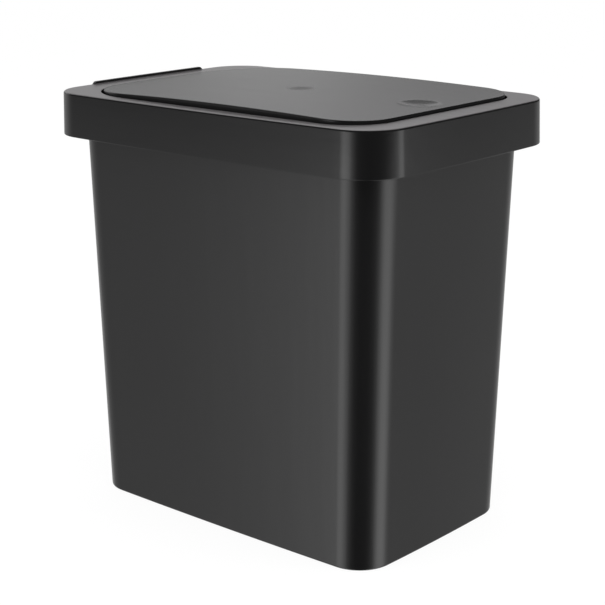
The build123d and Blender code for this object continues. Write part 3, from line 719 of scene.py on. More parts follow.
class StudioLight(bpy.types.PropertyGroup):
    """The camera's place and the studio's light."""

    turn: angle("Camera turn", "Turn of the camera about the bin, from its front", -48.8330)
    rise: angle("Camera rise", "Angle of the camera's view above level", 15.4857)
    roll: angle("Camera roll", "Tilt of the camera about its view", -0.4366)
    distance: length("Camera distance", "From the lens to the bin's middle plane", 1.179474)
    across: length("Camera across", "Move of the camera to its right", 0.002151)
    up: length("Camera up", "Move of the camera upwards", 0.142416)
    lens: level("Lens", "Focal length in millimetres on a sensor 36 mm wide", 94.567)
    ambient: level("Ambient", "Light that reaches matt surfaces from all round", 0.7)
    key: level("Key lamp", "Power of the lamp overhead, in watts", 6.0)
    side: level("Side lamps", "Power of each lamp at the sides, in watts", 4.0)


class WasteBin(bpy.types.PropertyGroup):
    """All settings of the waste bin."""

    lid: bpy.props.PointerProperty(type=LidSizes)
    bucket: bpy.props.PointerProperty(type=BucketSizes)
    flap: bpy.props.PointerProperty(type=FlapSizes)
    hinge: bpy.props.PointerProperty(type=HingeSizes)
    latch: bpy.props.PointerProperty(type=LatchSizes)
    finishes: bpy.props.PointerProperty(type=Finishes)
    studio: bpy.props.PointerProperty(type=StudioLight)


# Lid frame


def land_top(lid):
    """Height of the land's upper face."""
    return LAND_UNDER + lid.land


def lid_loop(lid, cut):
    """Outline of the lid's lower edge, drawn in all round by a cut."""
    return bowed_loop(LID_WIDTH - 2 * cut, LID_LENGTH - 2 * cut, lid.corner - cut, lid.side_bow, lid.end_bow)


def skirt_loop(lid, z, inset):
    """Outline of the lid's skirt at a height, drawn in by the draft's share of that height."""
    return lid_loop(lid, inset + lid.draft * (z - LID_LOW.z) / (land_top(lid) - LID_LOW.z))


def opening_loop(lid, grow):
    """Outline of the opening, grown outwards: the flap's box with its gaps round it.

    The half in front of its middle has the front corners' radius, and the half behind it the back ones'.
    """
    front = FLAP_LOW.y - lid.flap_gap
    back = FLAP_END + lid.back_gap
    width = FLAP_HIGH.x - FLAP_LOW.x + 2 * (lid.flap_gap + grow)
    ahead = bowed_loop(width, back - front + 2 * grow, lid.opening_front + grow)
    behind = bowed_loop(width, back - front + 2 * grow, lid.opening_back + grow)
    return np.where(ahead[:, 1:] < 0, ahead, behind) + (0.0, (front + back) / 2)


def frame_ring(lid):
    """The frame's closed ring: land, rounded edge, skirt, hem, inside and well.

    Its profile is rounded in two stretches, one measured inwards from the skirt and one outwards from the
    opening, and each station carries a whole outline round the lid.
    """
    top = land_top(lid)
    low = LID_LOW.z
    well = top - lid.well_depth
    small = lid.hem / 2
    skirt = soften([
        (4 * lid.edge, top, 0),
        (0, top, lid.edge),
        (0, low, lid.hem),
        (lid.wall, low, lid.hem),
        (lid.wall, LAND_UNDER, small),
        (3 * lid.wall, LAND_UNDER, 0),
    ])
    inner = soften([
        (2 * lid.well_wall, LAND_UNDER, 0),
        (lid.well_wall, LAND_UNDER, small),
        (lid.well_wall, well, small),
        (0, well, small),
        (0, top, lid.opening_edge),
        (4 * lid.opening_edge, top, 0),
    ])
    rings = [ring(skirt_loop(lid, z, inset), z) for inset, z in skirt]
    rings += [ring(opening_loop(lid, grow), z) for grow, z in inner]
    return skin(rings, joined=True)


def stop_rib(lid):
    """Rib along the back edge: a bar that grows shorter upwards, moved forwards by the back edge's own arc."""
    top = land_top(lid)
    back = LID_HIGH.y - lid.draft - lid.rib_setback
    half = lid.rib_length / 2
    outline = bar_outline(-half, half, back - lid.rib_width, back, lid.rib_width / 3)
    points, quads, triangles = slab(outline, LAND_UNDER, LID_HIGH.z, lid.rib_width / 6)
    risen = np.clip((points[:, 2] - top) / (LID_HIGH.z - top), 0, 1)
    points[:, 0] *= 1 - risen * lid.rib_slope / half
    half_chord = LID_HIGH.x - lid.side_bow
    radius = (half_chord**2 + lid.end_bow**2) / (2 * lid.end_bow)
    points[:, 1] -= radius - np.sqrt(radius**2 - points[:, 0] ** 2)
    return points, quads, triangles


def latch_shelf(lid, latch):
    """Shelf under the flap's front with the cartridge's window, and the ribs along its sides.

    The plate's profile is rounded in two stretches, one inwards from its outline and one outwards from the
    window, and its back corners take a larger radius than its front ones, which stand in the well's wall.
    """
    low = land_top(lid) - lid.well_depth
    top = low + latch.shelf
    half = latch.shelf_width / 2
    fit = latch.fit
    front = FLAP_LOW.y - lid.flap_gap - lid.well_wall / 2
    housing_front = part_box("latch_housing")[0].y
    back = housing_front + 2 * (PRESS_Y - housing_front) + latch.shelf_lip
    square = bar_outline(-half, half, front, back, lid.well_wall / 2)
    round_off = bar_outline(-half, half, front, back, 2 * latch.shelf_rib)
    cover_low, cover_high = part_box("latch_cover")
    window = bar_outline(
        cover_low.x - fit, cover_high.x + fit, 2 * PRESS_Y - cover_high.y - fit, cover_high.y + fit, fit
    )

    def outline(inset):
        plain = square(inset)
        return np.where(plain[:, 1:] < (front + back) / 2, plain, round_off(inset))

    outer = soften([(2 * fit, top, 0), (0, top, fit), (0, low, fit), (2 * fit, low, 0)])
    inner = soften([(2 * fit, low, 0), (0, low, fit / 2), (0, top, fit / 2), (2 * fit, top, 0)])
    rings = [ring(outline(inset), z) for inset, z in outer]
    rings += [ring(window(-grow), z) for grow, z in inner]
    rib_outline = bar_outline(half - latch.shelf_rib / 2, half, front, back - 2 * latch.shelf_rib, fit)
    rib = slab(rib_outline, top - fit, top + latch.shelf_rib, fit)
    return together(skin(rings, joined=True), both_sides(rib))


def frame_bosses(lid, hinge):
    """Bosses outside the well's wall that carry the hinge's pins."""
    x0 = FLAP_HIGH.x + lid.flap_gap + lid.well_wall / 2
    x1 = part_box("hinge_pin_right")[1].x
    outer = np.full(CIRCLE_STEPS, hinge.frame_boss / 2)
    return both_sides(collar_ring(outer, hinge.bore / 2, x0, x1, HINGE_Y, HINGE_Z, lid.hem / 2))


# Bucket


def wall_loop(bucket, lid, z, inset):
    """Outline of the bucket's wall: every measure runs evenly from the skirt's height down to the base."""
    below = 1 - z / LID_LOW.z
    cut = inset + bucket.overhang
    width = LID_WIDTH - 2 * cut - 2 * bucket.side_taper * below
    long = LID_LENGTH - 2 * cut - 2 * bucket.end_taper * below
    corner = bucket.mouth_corner + (bucket.base_corner - bucket.mouth_corner) * below - inset
    bow = lid.side_bow + (bucket.base_bow - lid.side_bow) * below
    return bowed_loop(width, long, corner, bow, lid.end_bow, bucket.base_shift * below)


def bucket_shell(bucket, lid):
    """The bucket from the middle of its floor, up inside, over the rim and down to the middle of its base.

    Three rounded stretches of profile carry outlines round the bucket: the hollow, the collar and the outside.
    """
    wall = bucket.wall
    shoulder = LAND_UNDER - bucket.shoulder
    ledge = shoulder + wall
    hollow = soften([
        (6 * wall, bucket.floor, 0),
        (wall, bucket.floor, 1.2 * wall),
        (wall, ledge, wall / 3),
        (wall / 2, ledge, 0),
    ])
    collar = soften([
        (2 * wall, ledge, 0),
        (wall, ledge, wall / 4),
        (wall, LAND_UNDER, wall / 4),
        (0, LAND_UNDER, wall / 4),
        (0, shoulder, wall / 3),
        (wall, shoulder, 0),
    ])
    outside = soften([
        (-wall / 2, shoulder, 0),
        (0, shoulder, wall / 4),
        (0, 0, bucket.foot_edge),
        (bucket.foot_width, 0, wall / 6),
        (bucket.foot_width, bucket.foot, wall / 6),
        (bucket.foot_width + wall, bucket.foot, 0),
    ])
    rings = [ring(wall_loop(bucket, lid, z, inset), z) for inset, z in hollow]
    rings += [ring(lid_loop(lid, inset + bucket.collar_inset), z) for inset, z in collar]
    rings += [ring(wall_loop(bucket, lid, z, inset), z) for inset, z in outside]
    return skin(rings)


def base_ribs(bucket, lid):
    """Crossed ribs under the floor, each reaching into the foot on both sides."""
    loop = wall_loop(bucket, lid, 0.0, 0.6 * bucket.foot_width) - (0.0, bucket.base_shift)
    half_x, half_y = loop.max(0)
    half = bucket.base_rib / 2
    shells = []
    for turn in (0, TURN / 8, TURN / 4, 3 * TURN / 8):
        reach = min(half_x / max(abs(math.cos(turn)), TINY), half_y / max(abs(math.sin(turn)), TINY))
        outline = bar_outline(-reach, reach, -half, half, half / 2)
        points, quads, triangles = slab(outline, half * 0.75, bucket.foot + half, half / 2)
        round_z = np.array(Matrix.Rotation(turn, 3, "Z"))
        shells.append((points @ round_z.T + (0, bucket.base_shift, 0), quads, triangles))
    return together(*shells)


# Flap


# The top's grid: rows round each end, rows between, columns, and the least steps in metres and row shares
END_ROWS = 25
MIDDLE_ROWS = 61
COLUMNS = 51
LEAST_ROW_STEP = 0.00008
LEAST_COLUMN_STEP = 0.003
# Finer steps over the press dimple and the gate mark, and how far they reach from their middles
PRESS_REACH, PRESS_STEP = 0.0185, 0.0009
GATE_REACH, GATE_STEP = 0.0125, 0.0014
# Places of the first and last cross rib along the bin, and their count
FIRST_CROSS, LAST_CROSS, CROSS_COUNT = -0.078, 0.108, 5


def crown_height(flap, lid, y):
    """Height of the flap's plain top: an arc along the bin through its heights in front, midway and behind.

    With the rise over the two ends' mean, the radius is (half length squared plus rise squared) over twice the
    rise. The arc's own top lies off the middle by the radius times the ends' difference over the length.
    """
    half = (FLAP_HIGH.y - FLAP_LOW.y) / 2
    rise = flap.crown - (flap.crown_front + flap.crown_back) / 2
    radius = (half**2 + rise**2) / (2 * rise)
    offset = radius * (flap.crown_front - flap.crown_back) / (2 * half)
    crest = CROWN_MIDDLE - offset
    axis = land_top(lid) + flap.crown - math.sqrt(radius**2 - offset**2)
    return axis + np.sqrt(radius**2 - (y - crest) ** 2)


def press_height(flap, lid, x, y):
    """Height of the flap's top with its press dimple and gate mark.

    The dimple is a ball's underside. With h the crown's height over the ball, the top goes down by half of
    h plus the root of (h squared plus blend squared). The gate mark goes down by its depth times e to the
    power of minus (distance squared over twice its size squared) squared.
    """
    plain = crown_height(flap, lid, y)
    ball_radius = (flap.dimple**2 / 4 + flap.dimple_depth**2) / (2 * flap.dimple_depth)
    away = x**2 + (y - PRESS_Y) ** 2
    ball = crown_height(flap, lid, PRESS_Y) - flap.dimple_depth + ball_radius
    over = plain - ball + np.sqrt(np.maximum(ball_radius**2 - away, 0))
    from_gate = x**2 + (y - CROWN_MIDDLE) ** 2
    gate = flap.gate_depth * np.exp(-((from_gate / (2 * flap.gate_size**2)) ** 2))
    return plain - (over + np.sqrt(over**2 + flap.dimple_blend**2)) / 2 - gate


def spaced(values, least):
    """Sorted values, without those that follow another by less than the least step. Both ends stay."""
    values = np.unique(values)
    keep = np.append(True, np.diff(values) > least)
    keep[-1] = True
    return values[keep]


def flap_rows(flap, rows, inset):
    """Ends of rows across the flap, at distances along it from its middle, taken inset inside its edge.

    A row's end lies on the rounded rectangle: the nearest point of the rectangle of corner centres, plus the
    corner's radius less the inset, outwards. The corner is the front or the back one by the row's sign.
    """
    corner = np.where(rows < 0, flap.front_corner, flap.back_corner)
    beyond = np.clip(np.abs(rows) - FLAP_HALF + corner, 0, corner)
    reach = corner - inset
    end_x = FLAP_HIGH.x - corner + np.sqrt(1 - (beyond / corner) ** 2) * reach
    return end_x, np.sign(rows) * (np.abs(rows) - beyond + beyond / corner * reach)


def either_way(reach, step):
    """Evenly spaced values from minus the reach to the reach."""
    return np.arange(-reach, reach + step / 2, step)


def flap_grid(flap, inset):
    """Grid over the flap, taken inset inside its edge: rows from end to end, and columns as shares of a row."""
    bend = np.sin(np.linspace(0, TURN / 4, END_ROWS)) - 1
    front = -FLAP_HALF - flap.front_corner * bend
    back = FLAP_HALF + flap.back_corner * bend
    between = np.linspace(front.max(), back.min(), MIDDLE_ROWS)
    press = either_way(PRESS_REACH, PRESS_STEP)
    gate = either_way(GATE_REACH, GATE_STEP)
    rows = spaced(np.concatenate([front, between, back, press + PRESS_Y - FLAP_MIDDLE, gate]), LEAST_ROW_STEP)
    columns = spaced(np.concatenate([np.linspace(-1, 1, COLUMNS), press / FLAP_HIGH.x]), LEAST_COLUMN_STEP)
    end_x, end_y = flap_rows(flap, rows, inset)
    x = end_x[:, None] * columns[None]
    return x, np.broadcast_to(end_y[:, None] + FLAP_MIDDLE, x.shape)


def flap_shell(flap, lid):
    """The flap's top with its dimple, rounded edge, skirt and hollow underside.

    The edge is a quarter circle: the inset is the edge times (1 - sin a), and the drop is the edge times
    (1 - cos a).
    """

    def grid_at(inset, height):
        x, y = flap_grid(flap, inset)
        return np.stack([x, y, np.broadcast_to(height(x, y), x.shape)], -1)

    def top_height(x, y):
        return press_height(flap, lid, x, y)

    low = land_top(lid) - flap.drop
    over = low + flap.edge
    small = flap.wall / 6
    edge = zip(*quarter_turn(0.2, 1, ROUND_STEPS))
    rim = soften([(0, over, 0), (0, low, small), (flap.wall, low, small), (flap.wall, over, 0)])
    rings = [
        edge_of(grid_at(flap.edge * (1 - s), lambda x, y: top_height(x, y) - flap.edge * (1 - c)))
        for s, c in edge
    ]
    rings += [edge_of(grid_at(inset, lambda x, y: z)) for inset, z in rim]
    bottom = grid_at(flap.wall, lambda x, y: crown_height(flap, lid, y) - flap.skin)
    return crate(grid_at(flap.edge, top_height), rings, bottom)


def under_rib(flap, lid, x0, x1, y0, y1, low):
    """Rib from a height up into the flap's top: a thin slab whose upper face follows the crown."""
    edge = flap.rib / 6
    points, quads, triangles = slab(bar_outline(x0, x1, y0, y1, edge), low, low + 4 * edge, edge)
    upper = points[:, 2] > low + 2 * edge
    points[upper, 2] += crown_height(flap, lid, points[upper, 1]) - flap.skin / 2 - low - 4 * edge
    return points, quads, triangles


def flap_ribs(flap, lid):
    """The long ribs and cross ribs under the flap's top."""
    low = land_top(lid) - flap.drop + flap.rib / 8
    half = flap.rib / 2
    back = FLAP_END - flap.wall / 2
    crosses = np.linspace(FIRST_CROSS, LAST_CROSS, CROSS_COUNT)
    ends = flap_rows(flap, crosses + np.sign(crosses) * half - FLAP_MIDDLE, flap.wall / 2)[0]
    long_rib = under_rib(flap, lid, flap.rib_x - half, flap.rib_x + half, crosses[0], back, low)
    across = [under_rib(flap, lid, -end, end, y - half, y + half, low) for end, y in zip(ends, crosses)]
    return together(both_sides(long_rib), *across)


def hinge_lugs(flap, lid, hinge):
    """Bosses in the flap's side walls and the lugs that hang beside them, with the pins' bores.

    A lug's outline, by its distance from the axis at each angle, is a circle below the axis and a rectangle
    above it: the half width over the cosine or the height over the sine, whichever is less.
    """
    along, up = spokes(np.linspace(0, TURN, 2 * CIRCLE_STEPS, endpoint=False)).T
    half = hinge.flap_boss / 2
    height = crown_height(flap, lid, HINGE_Y) - flap.skin / 2 - HINGE_Z
    upright = np.minimum(half / np.maximum(np.abs(along), TINY), height / np.maximum(up, TINY))
    outline = np.where(up > 0, upright, half)
    inner = FLAP_HIGH.x - hinge.boss_length
    outer = inner - hinge.lug_spacing
    small = flap.rib / 5
    bore = hinge.bore / 2
    disc = np.full(len(up), half)
    boss = collar_ring(disc, bore, inner, FLAP_HIGH.x - flap.wall / 2, HINGE_Y, HINGE_Z, small)
    lug = collar_ring(outline, bore, outer - hinge.lug, outer, HINGE_Y, HINGE_Z, small)
    return together(both_sides(boss), both_sides(lug))


def press_pad(flap, lid):
    """Thicker pad under the dimple and the two bosses that the striker hangs from."""
    under = crown_height(flap, lid, PRESS_Y) - flap.skin
    small = flap.rib / 4
    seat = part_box("striker")[1].z
    pad_outline = disc_outline(flap.pad / 2, (0, PRESS_Y))
    pad = slab(pad_outline, under - flap.dimple_depth, under + flap.skin / 4, small)
    screw_low, screw_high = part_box("striker_screws")
    head = (screw_high.x - screw_low.x) / 2
    bosses = [
        slab(disc_outline(flap.boss / 2, (0, y)), seat, under, small)
        for y in (screw_low.y + head, screw_high.y - head)
    ]
    return together(pad, *bosses)


# Springs


# Part of the hinge spring's last turn that would move with the flap; it only goes into working out where the
# coil ends, and the spring stays fixed
COIL_WITH_FLAP = 0.15
# Points along the hinge spring's lifting leg
LEG_STEPS = 10


def coil_start(hinge):
    """Place across the bin where the right-hand hinge spring's coil starts."""
    return FLAP_HIGH.x - hinge.boss_length - hinge.wire


def hinge_spring_path(hinge, lid):
    """Centre line of the right-hand hinge spring.

    The coil's angle about the pin goes down evenly from a half turn, and its x goes inwards by the pitch for
    each turn. Before it a leg runs straight down its first direction, bends and hooks outwards under the
    well's wall, and after it a leg runs straight on along its last direction.
    """
    t = np.linspace(0, 1, int(hinge.turns * COIL_STEPS))
    sweep = -TURN * hinge.turns
    a = TURN / 2 + sweep * t
    start_x = coil_start(hinge)
    rise = -hinge.pitch * hinge.turns
    radius = hinge.coil_radius
    coil = np.stack([start_x + rise * t, HINGE_Y + radius * np.cos(a), HINGE_Z + radius * np.sin(a)], 1)
    last = np.array([rise, -radius * math.sin(a[-1]) * sweep, radius * math.cos(a[-1]) * sweep])
    last /= np.linalg.norm(last)
    hook_z = land_top(lid) - lid.well_depth - 0.6 * hinge.wire
    lean = -rise / (radius * -sweep) * (HINGE_Z - hook_z)
    corner_x = start_x + lean
    bend = soften([
        (corner_x + hinge.hook, hook_z, 0),
        (corner_x, hook_z, 1.5 * hinge.wire),
        (start_x, HINGE_Z, 0),
    ])
    leg = np.stack([bend[:, 0], np.full(len(bend), HINGE_Y - radius), bend[:, 1]], 1)
    lift = coil[-1] + hinge.lift * last * np.linspace(1 / LEG_STEPS, 1, LEG_STEPS)[:, None]
    return np.vstack([leg[:-1], coil, lift])


def latch_spring_path(latch):
    """Centre line of the latch's spring: a circle that climbs evenly between the cartridge and the slider."""
    low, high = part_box("latch_spring")
    t = np.linspace(0, 1, int(latch.turns * COIL_STEPS))
    a = TURN * latch.turns * t
    bottom, top = low.z + latch.wire / 2, high.z - latch.wire / 2
    y = (low.y + high.y) / 2
    z = bottom + (top - bottom) * t
    return np.stack([latch.coil_radius * np.cos(a), y + latch.coil_radius * np.sin(a), z], 1)


# Operators


class PieceOperator:
    """What all of the bin's operators share."""

    bl_options = {"REGISTER", "UNDO"}


class WASTEBIN_OT_bucket(PieceOperator, bpy.types.Operator):
    """Make the bucket with its collar, floor and ribbed base"""

    bl_idname = "wastebin.bucket"
    bl_label = "Bucket"

    def execute(self, context):
        sizes = context.scene.waste_bin
        shell = together(bucket_shell(sizes.bucket, sizes.lid), base_ribs(sizes.bucket, sizes.lid))
        bucket = make_piece("bucket", shell, "bin", "bucket", "bin_body")
        finish = sizes.finishes
        dress(moulded_black("Bucket plastic", finish.body, finish.body_gloss, FLOW_UP), bucket)
        return {"FINISHED"}


class WASTEBIN_OT_lid(PieceOperator, bpy.types.Operator):
    """Make the lid frame with its skirt, well, stop rib, bosses and latch shelf"""

    bl_idname = "wastebin.lid"
    bl_label = "Lid frame"

    def execute(self, context):
        sizes = context.scene.waste_bin
        lid = sizes.lid
        shell = together(
            frame_ring(lid), stop_rib(lid), latch_shelf(lid, sizes.latch), frame_bosses(lid, sizes.hinge)
        )
        piece = make_piece("lid_frame_moulding", shell, "lid", "lid", "lid_frame")
        finish = sizes.finishes
        plastic = moulded_black("Lid plastic", finish.body, finish.body_gloss, FLOW_ALONG, land_top(lid))
        dress(plastic, piece)
        return {"FINISHED"}


class WASTEBIN_OT_flap(PieceOperator, bpy.types.Operator):
    """Make the push flap with its dimple, ribs, lugs and striker bosses"""

    bl_idname = "wastebin.flap"
    bl_label = "Flap"

    def execute(self, context):
        sizes = context.scene.waste_bin
        flap, lid = sizes.flap, sizes.lid
        shell = together(
            flap_shell(flap, lid),
            flap_ribs(flap, lid),
            hinge_lugs(flap, lid, sizes.hinge),
            press_pad(flap, lid),
        )
        piece = make_piece("push_flap", shell, "flap", "flap", "flap")
        finish = sizes.finishes
        plastic = moulded_black("Flap plastic", finish.flap, finish.flap_gloss, FLOW_ALONG, gate_y=GATE_PATCH_Y)
        dress(plastic, piece)
        return {"FINISHED"}


class WASTEBIN_OT_hinge(PieceOperator, bpy.types.Operator):
    """Make the hinge springs and finish the pins and their retainers"""

    bl_idname = "wastebin.hinge"
    bl_label = "Hinge"

    def execute(self, context):
        sizes = context.scene.waste_bin
        hinge, finish = sizes.hinge, sizes.finishes
        right = tube(hinge_spring_path(hinge, sizes.lid), hinge.wire / 2)
        spring_steel = drawn_steel("Spring steel", finish.spring_steel, roughness=0.30, along=(1.0, 0.2, 0.2))
        start_x = coil_start(hinge)
        end_x = start_x - hinge.pitch * (hinge.turns - COIL_WITH_FLAP)
        for side, shell in (("right", right), ("left", mirrored(right))):
            spring = make_piece("flap_spring_" + side, shell, None, "spring_steel", "hinge_spring_" + side)
            sign = 1 if side == "right" else -1
            sign * start_x
            sign * end_x
            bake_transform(spring)
            dress(spring_steel, spring)
        pin_steel = drawn_steel("Pin steel", finish.bright_steel, roughness=0.24, along=(0.05, 1.0, 1.0))
        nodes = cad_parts
        dress(pin_steel, nodes["hinge_pin_left"], nodes["hinge_pin_right"], nodes["pin_retainers"])
        return {"FINISHED"}


class WASTEBIN_OT_latch(PieceOperator, bpy.types.Operator):
    """Make the latch's spring and finish its cartridge, slider, striker and screws"""

    bl_idname = "wastebin.latch"
    bl_label = "Latch"

    def execute(self, context):
        sizes = context.scene.waste_bin
        latch, finish = sizes.latch, sizes.finishes
        wire = tube(latch_spring_path(latch), latch.wire / 2)
        spring = make_piece("slider_spring", wire, "lid", "spring_steel", "latch_spring")
        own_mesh(spring)
        coiled = drawn_steel("Coiled steel", finish.spring_steel, roughness=0.30, along=(0.2, 0.2, 1.0))
        dark = moulded_plain("Latch grey plastic", finish.acetal_grey, roughness=0.42)
        pale = moulded_plain("Latch white plastic", finish.acetal_white, roughness=0.36)
        screw = drawn_steel("Screw steel", finish.bright_steel, roughness=0.28, along=(1.0, 1.0, 0.1))
        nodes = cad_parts
        dress(coiled, spring, nodes["latch_follower"])
        dress(dark, nodes["latch_housing"], nodes["latch_cover"])
        dress(pale, nodes["latch_slider"], nodes["striker"])
        dress(screw, nodes["latch_screws"], nodes["striker_screws"])
        return {"FINISHED"}


class WASTEBIN_OT_studio(PieceOperator, bpy.types.Operator):
    """Set the bin in its plain studio: floor, lamps, surroundings and camera"""

    bl_idname = "wastebin.studio"
    bl_label = "Studio"

    def execute(self, context):
        scene = context.scene
        studio = scene.waste_bin.studio
        make_floor(scene)
        make_surroundings(scene, studio)
        make_lamps(scene, studio)
        make_camera(scene, studio)
        scene.view_settings.view_transform = "Standard"
        return {"FINISHED"}


# Studio


# The floor: half its width, its tone in the bin's light, and what is seen of it, a shadowed tone and a glow
FLOOR_HALF = 4.0
FLOOR_TONE = 0.8
SHADOW_TONE = 0.14
FLOOR_GLOW = 0.9
# Light that shiny surfaces mirror. A ramp ends at 1, so all levels in the nodes count times this gain.
LIGHT_GAIN = 4.0
# Light beside the lid and light from below it, as degrees from the front towards the left, and levels
SKIRT_LIGHT = (
    (-180, 0.50), (-142, 0.45), (-137, 0.42), (-133, 0.55), (-131, 0.54), (-128, 0.38), (-125, 0.28),
    (-110, 0.4), (-75, 0.48), (-58, 0.42), (-50, 0.36), (-46, 1.2), (-42, 2.5), (-34, 2.4), (-24, 1.0),
    (-14, 0.45), (-4, 0.12), (8, 0.05), (50, 0.02), (66, 0.06), (78, 0.15), (88, 0.9), (100, 2.9),
    (112, 3.3), (120, 2.0), (124, 0.8), (128, 0.66), (134, 0.5), (142, 0.42), (180, 0.55),
)
WALL_LIGHT = (
    (-180, 0.60), (-110, 0.62), (-75, 0.5), (-50, 0.5), (-44, 0.75), (-38, 1.0), (-30, 1.8), (-20, 2.4),
    (-8, 2.4), (2, 1.5), (10, 0.6), (22, 0.2), (36, 0.08), (60, 0.06), (74, 0.15), (86, 0.5), (98, 1.5),
    (110, 2.2), (120, 2.1), (126, 1.35), (132, 0.85), (138, 0.6), (145, 0.5), (180, 0.45),
)
# Heights of a direction between which the wall's light gives way to the skirt's
LEVEL_FROM = (-0.24, -0.14)
# Bands over these: the heights where each begins and is full, and its colour
LIGHT_BANDS = (
    (0.215, 0.255, (0.28, 0.275, 0.28)),
    (0.31, 0.37, (0.095, 0.095, 0.095)),
    (0.62, 0.8, (0.7, 0.7, 0.7)),
)
# The dark part on the camera's side: the turns where it begins and ends, its lower edge, and its tone
DARK_FROM = (0.19, 0.23)
DARK_TO = (0.92, 0.97)
DARK_OVER = (-0.12, -0.04)
DARK_TONE = 0.01
# What the lamps look at: the bin's middle
LAMPS_LOOK_AT = (0.0, 0.0, 0.15)


def make_floor(scene):
    """A wide pale floor that keeps the bin's shadow."""
    mesh = bpy.data.meshes.new("studio_floor")
    corners = [(x * FLOOR_HALF, y * FLOOR_HALF, 0.0) for x, y in ((-1, -1), (1, -1), (1, 1), (-1, 1))]
    mesh.from_pydata(corners, [], [(0, 1, 2, 3)])
    floor = bpy.data.objects.new("studio_floor", mesh)
    scene.collection.objects.link(floor)
    material, sheet = new_material("Studio floor")
    matt = sheet.node("ShaderNodeBsdfDiffuse", {}, {"Color": grey(FLOOR_TONE)})
    shadow = sheet.node("ShaderNodeBsdfDiffuse", {}, {"Color": grey(SHADOW_TONE)})
    glow = sheet.node("ShaderNodeEmission", {}, {"Color": grey(1.0), "Strength": FLOOR_GLOW})
    white = sheet.node("ShaderNodeAddShader", {}, {0: shadow, 1: glow})
    straight, glossy, through = sheet.rays()
    shader = sheet.node("ShaderNodeMixShader", {}, {0: straight + glossy + through, 1: matt, 2: white})
    sheet.node("ShaderNodeOutputMaterial", {}, {"Surface": shader})
    dress(material, floor)
    floor.visible_glossy = False


def light_round(sheet, turn, table):
    """Light by a direction's turn about the bin, from a table of degrees and levels."""
    stops = [(degrees / 360 + 0.5, light / LIGHT_GAIN) for degrees, light in table]
    return sheet.node("ShaderNodeValToRGB", {"stops": stops}, {0: turn})


def make_surroundings(scene, studio):
    """White all round for the camera, an even light on matt surfaces, and shaped light for reflections.

    A direction's turn about the bin is the angle of (-x, -y) over a full turn plus a half: 0 at the back, 0.5
    at the front and 1 at the back again, and its height is its z. Low directions have the wall's light and
    level ones the skirt's, both by the turn. Bands of light follow with the height, and they show only away
    from the camera, because a dark part takes up its side from a little below the horizon upwards.
    """
    world = bpy.data.worlds.new("Studio surroundings")
    scene.world = world
    sheet = Sheet(world)
    x, y, z = sheet.split(sheet.node("ShaderNodeTexCoord", {}, {}, "Generated"))
    turn = sheet.node("ShaderNodeMath", {"operation": "ARCTAN2"}, {0: 0 - x, 1: 0 - y}) / TURN + 0.5
    wall_light, skirt_light = (light_round(sheet, turn, table) for table in (WALL_LIGHT, SKIRT_LIGHT))
    light = sheet.mix(sheet.smooth(z, *LEVEL_FROM), wall_light, skirt_light)
    for start, full, tint in LIGHT_BANDS:
        light = sheet.mix(sheet.smooth(z, start, full), light, rgba(tint))
    beside = sheet.smooth(turn, *DARK_FROM) * (1 - sheet.smooth(turn, *DARK_TO))
    light = sheet.mix(beside * sheet.smooth(z, *DARK_OVER), light, grey(DARK_TONE))
    shaped, ambient, white = (
        sheet.node("ShaderNodeBackground", {}, {"Color": colour, "Strength": strength})
        for colour, strength in ((light, LIGHT_GAIN), (grey(1.0), studio.ambient), (grey(1.0), 1.0))
    )
    straight, glossy, through = sheet.rays()
    shiny = sheet.node("ShaderNodeMath", {"operation": "MAXIMUM"}, {0: glossy, 1: through})
    lit = sheet.node("ShaderNodeMixShader", {}, {0: shiny, 1: ambient, 2: shaped})
    shown = sheet.node("ShaderNodeMixShader", {}, {0: straight, 1: lit, 2: white})
    sheet.node("ShaderNodeOutputWorld", {}, {"Surface": shown})


def aim(place, target):
    """World matrix of a lamp at a place that looks at a target."""
    look = (Vector(target) - Vector(place)).to_track_quat("-Z", "Y")
    return Matrix.Translation(place) @ look.to_matrix().to_4x4()


def make_lamps(scene, studio):
    """A broad lamp overhead and one at each side, none of which shows in reflections."""
    for name, place, size, power in (
        ("overhead_lamp", (-0.2, -0.3, 1.5), 1.4, studio.key),
        ("left_lamp", (-1.4, 0.3, 0.8), 1.0, studio.side),
        ("right_lamp", (0.5, -1.4, 0.8), 1.0, studio.side),
    ):
        lamp = bpy.data.lights.new(name, "AREA")
        lamp.shape = "SQUARE"
        lamp.size = size
        lamp.energy = power
        holder = bpy.data.objects.new(name, lamp)
        scene.collection.objects.link(holder)
        holder.matrix_world = aim(place, LAMPS_LOOK_AT)
        holder.visible_glossy = False
        holder.visible_camera = False


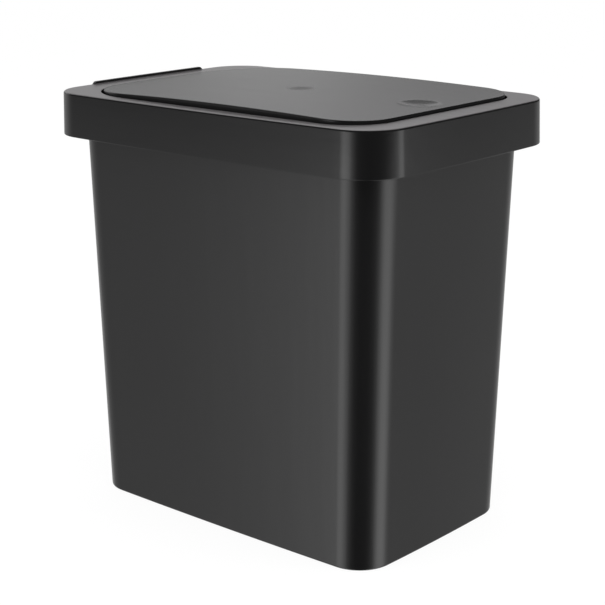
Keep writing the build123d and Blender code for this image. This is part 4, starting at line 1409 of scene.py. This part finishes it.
def make_camera(scene, studio):
    """Camera at the photograph's place, turned about the bin and rolled about its own view."""
    a, e, r = studio.turn, studio.rise, studio.roll
    back = Vector((math.sin(a) * math.cos(e), -math.cos(a) * math.cos(e), math.sin(e)))
    level_right = (-back).cross(Vector((0, 0, 1))).normalized()
    level_up = level_right.cross(-back)
    right = level_right * math.cos(r) + level_up * math.sin(r)
    up = level_up * math.cos(r) - level_right * math.sin(r)
    lens = bpy.data.cameras.new("studio_camera")
    lens.sensor_width = 36.0
    lens.lens = studio.lens
    lens.clip_start = 0.05
    camera = bpy.data.objects.new("studio_camera", lens)
    scene.collection.objects.link(camera)
    turn = Matrix((right, up, back)).transposed().to_4x4()
    place = back * studio.distance + right * studio.across + up * studio.up
    camera.matrix_world = Matrix.Translation(place) @ turn
    scene.camera = camera


# Panel and registration


class WASTEBIN_PT_parts(bpy.types.Panel):
    """Lists the bin's parts, its finishes and the studio"""

    bl_label = "Waste Bin"
    bl_idname = "WASTEBIN_PT_parts"
    bl_space_type = "VIEW_3D"
    bl_region_type = "UI"
    bl_category = "Waste Bin"

    def draw(self, context):
        settings = context.scene.waste_bin
        for operator in OPERATORS:
            self.layout.operator(operator.bl_idname)
        for part in WasteBin.__annotations__:
            group = getattr(settings, part)
            box = self.layout.box()
            for name in group.__annotations__:
                box.prop(group, name)


GROUPS = (LidSizes, BucketSizes, FlapSizes, HingeSizes, LatchSizes, Finishes, StudioLight, WasteBin)
OPERATORS = (
    WASTEBIN_OT_bucket,
    WASTEBIN_OT_lid,
    WASTEBIN_OT_flap,
    WASTEBIN_OT_hinge,
    WASTEBIN_OT_latch,
    WASTEBIN_OT_studio,
)
CLASSES = (*GROUPS, *OPERATORS, WASTEBIN_PT_parts)


def register():
    """Registers the settings, operators and panel."""
    for entry in CLASSES:
        bpy.utils.register_class(entry)
    bpy.types.Scene.waste_bin = bpy.props.PointerProperty(type=WasteBin)


def unregister():
    """Takes the settings, operators and panel away again."""
    del bpy.types.Scene.waste_bin
    for entry in reversed(CLASSES):
        bpy.utils.unregister_class(entry)


def main():
    """Makes the whole bin and its studio."""
    register()
    bpy.ops.wastebin.bucket()
    bpy.ops.wastebin.lid()
    bpy.ops.wastebin.flap()
    bpy.ops.wastebin.hinge()
    bpy.ops.wastebin.latch()
    bpy.ops.wastebin.studio()
    bpy.context.view_layer.update()


if __name__ == "__main__":
    main()
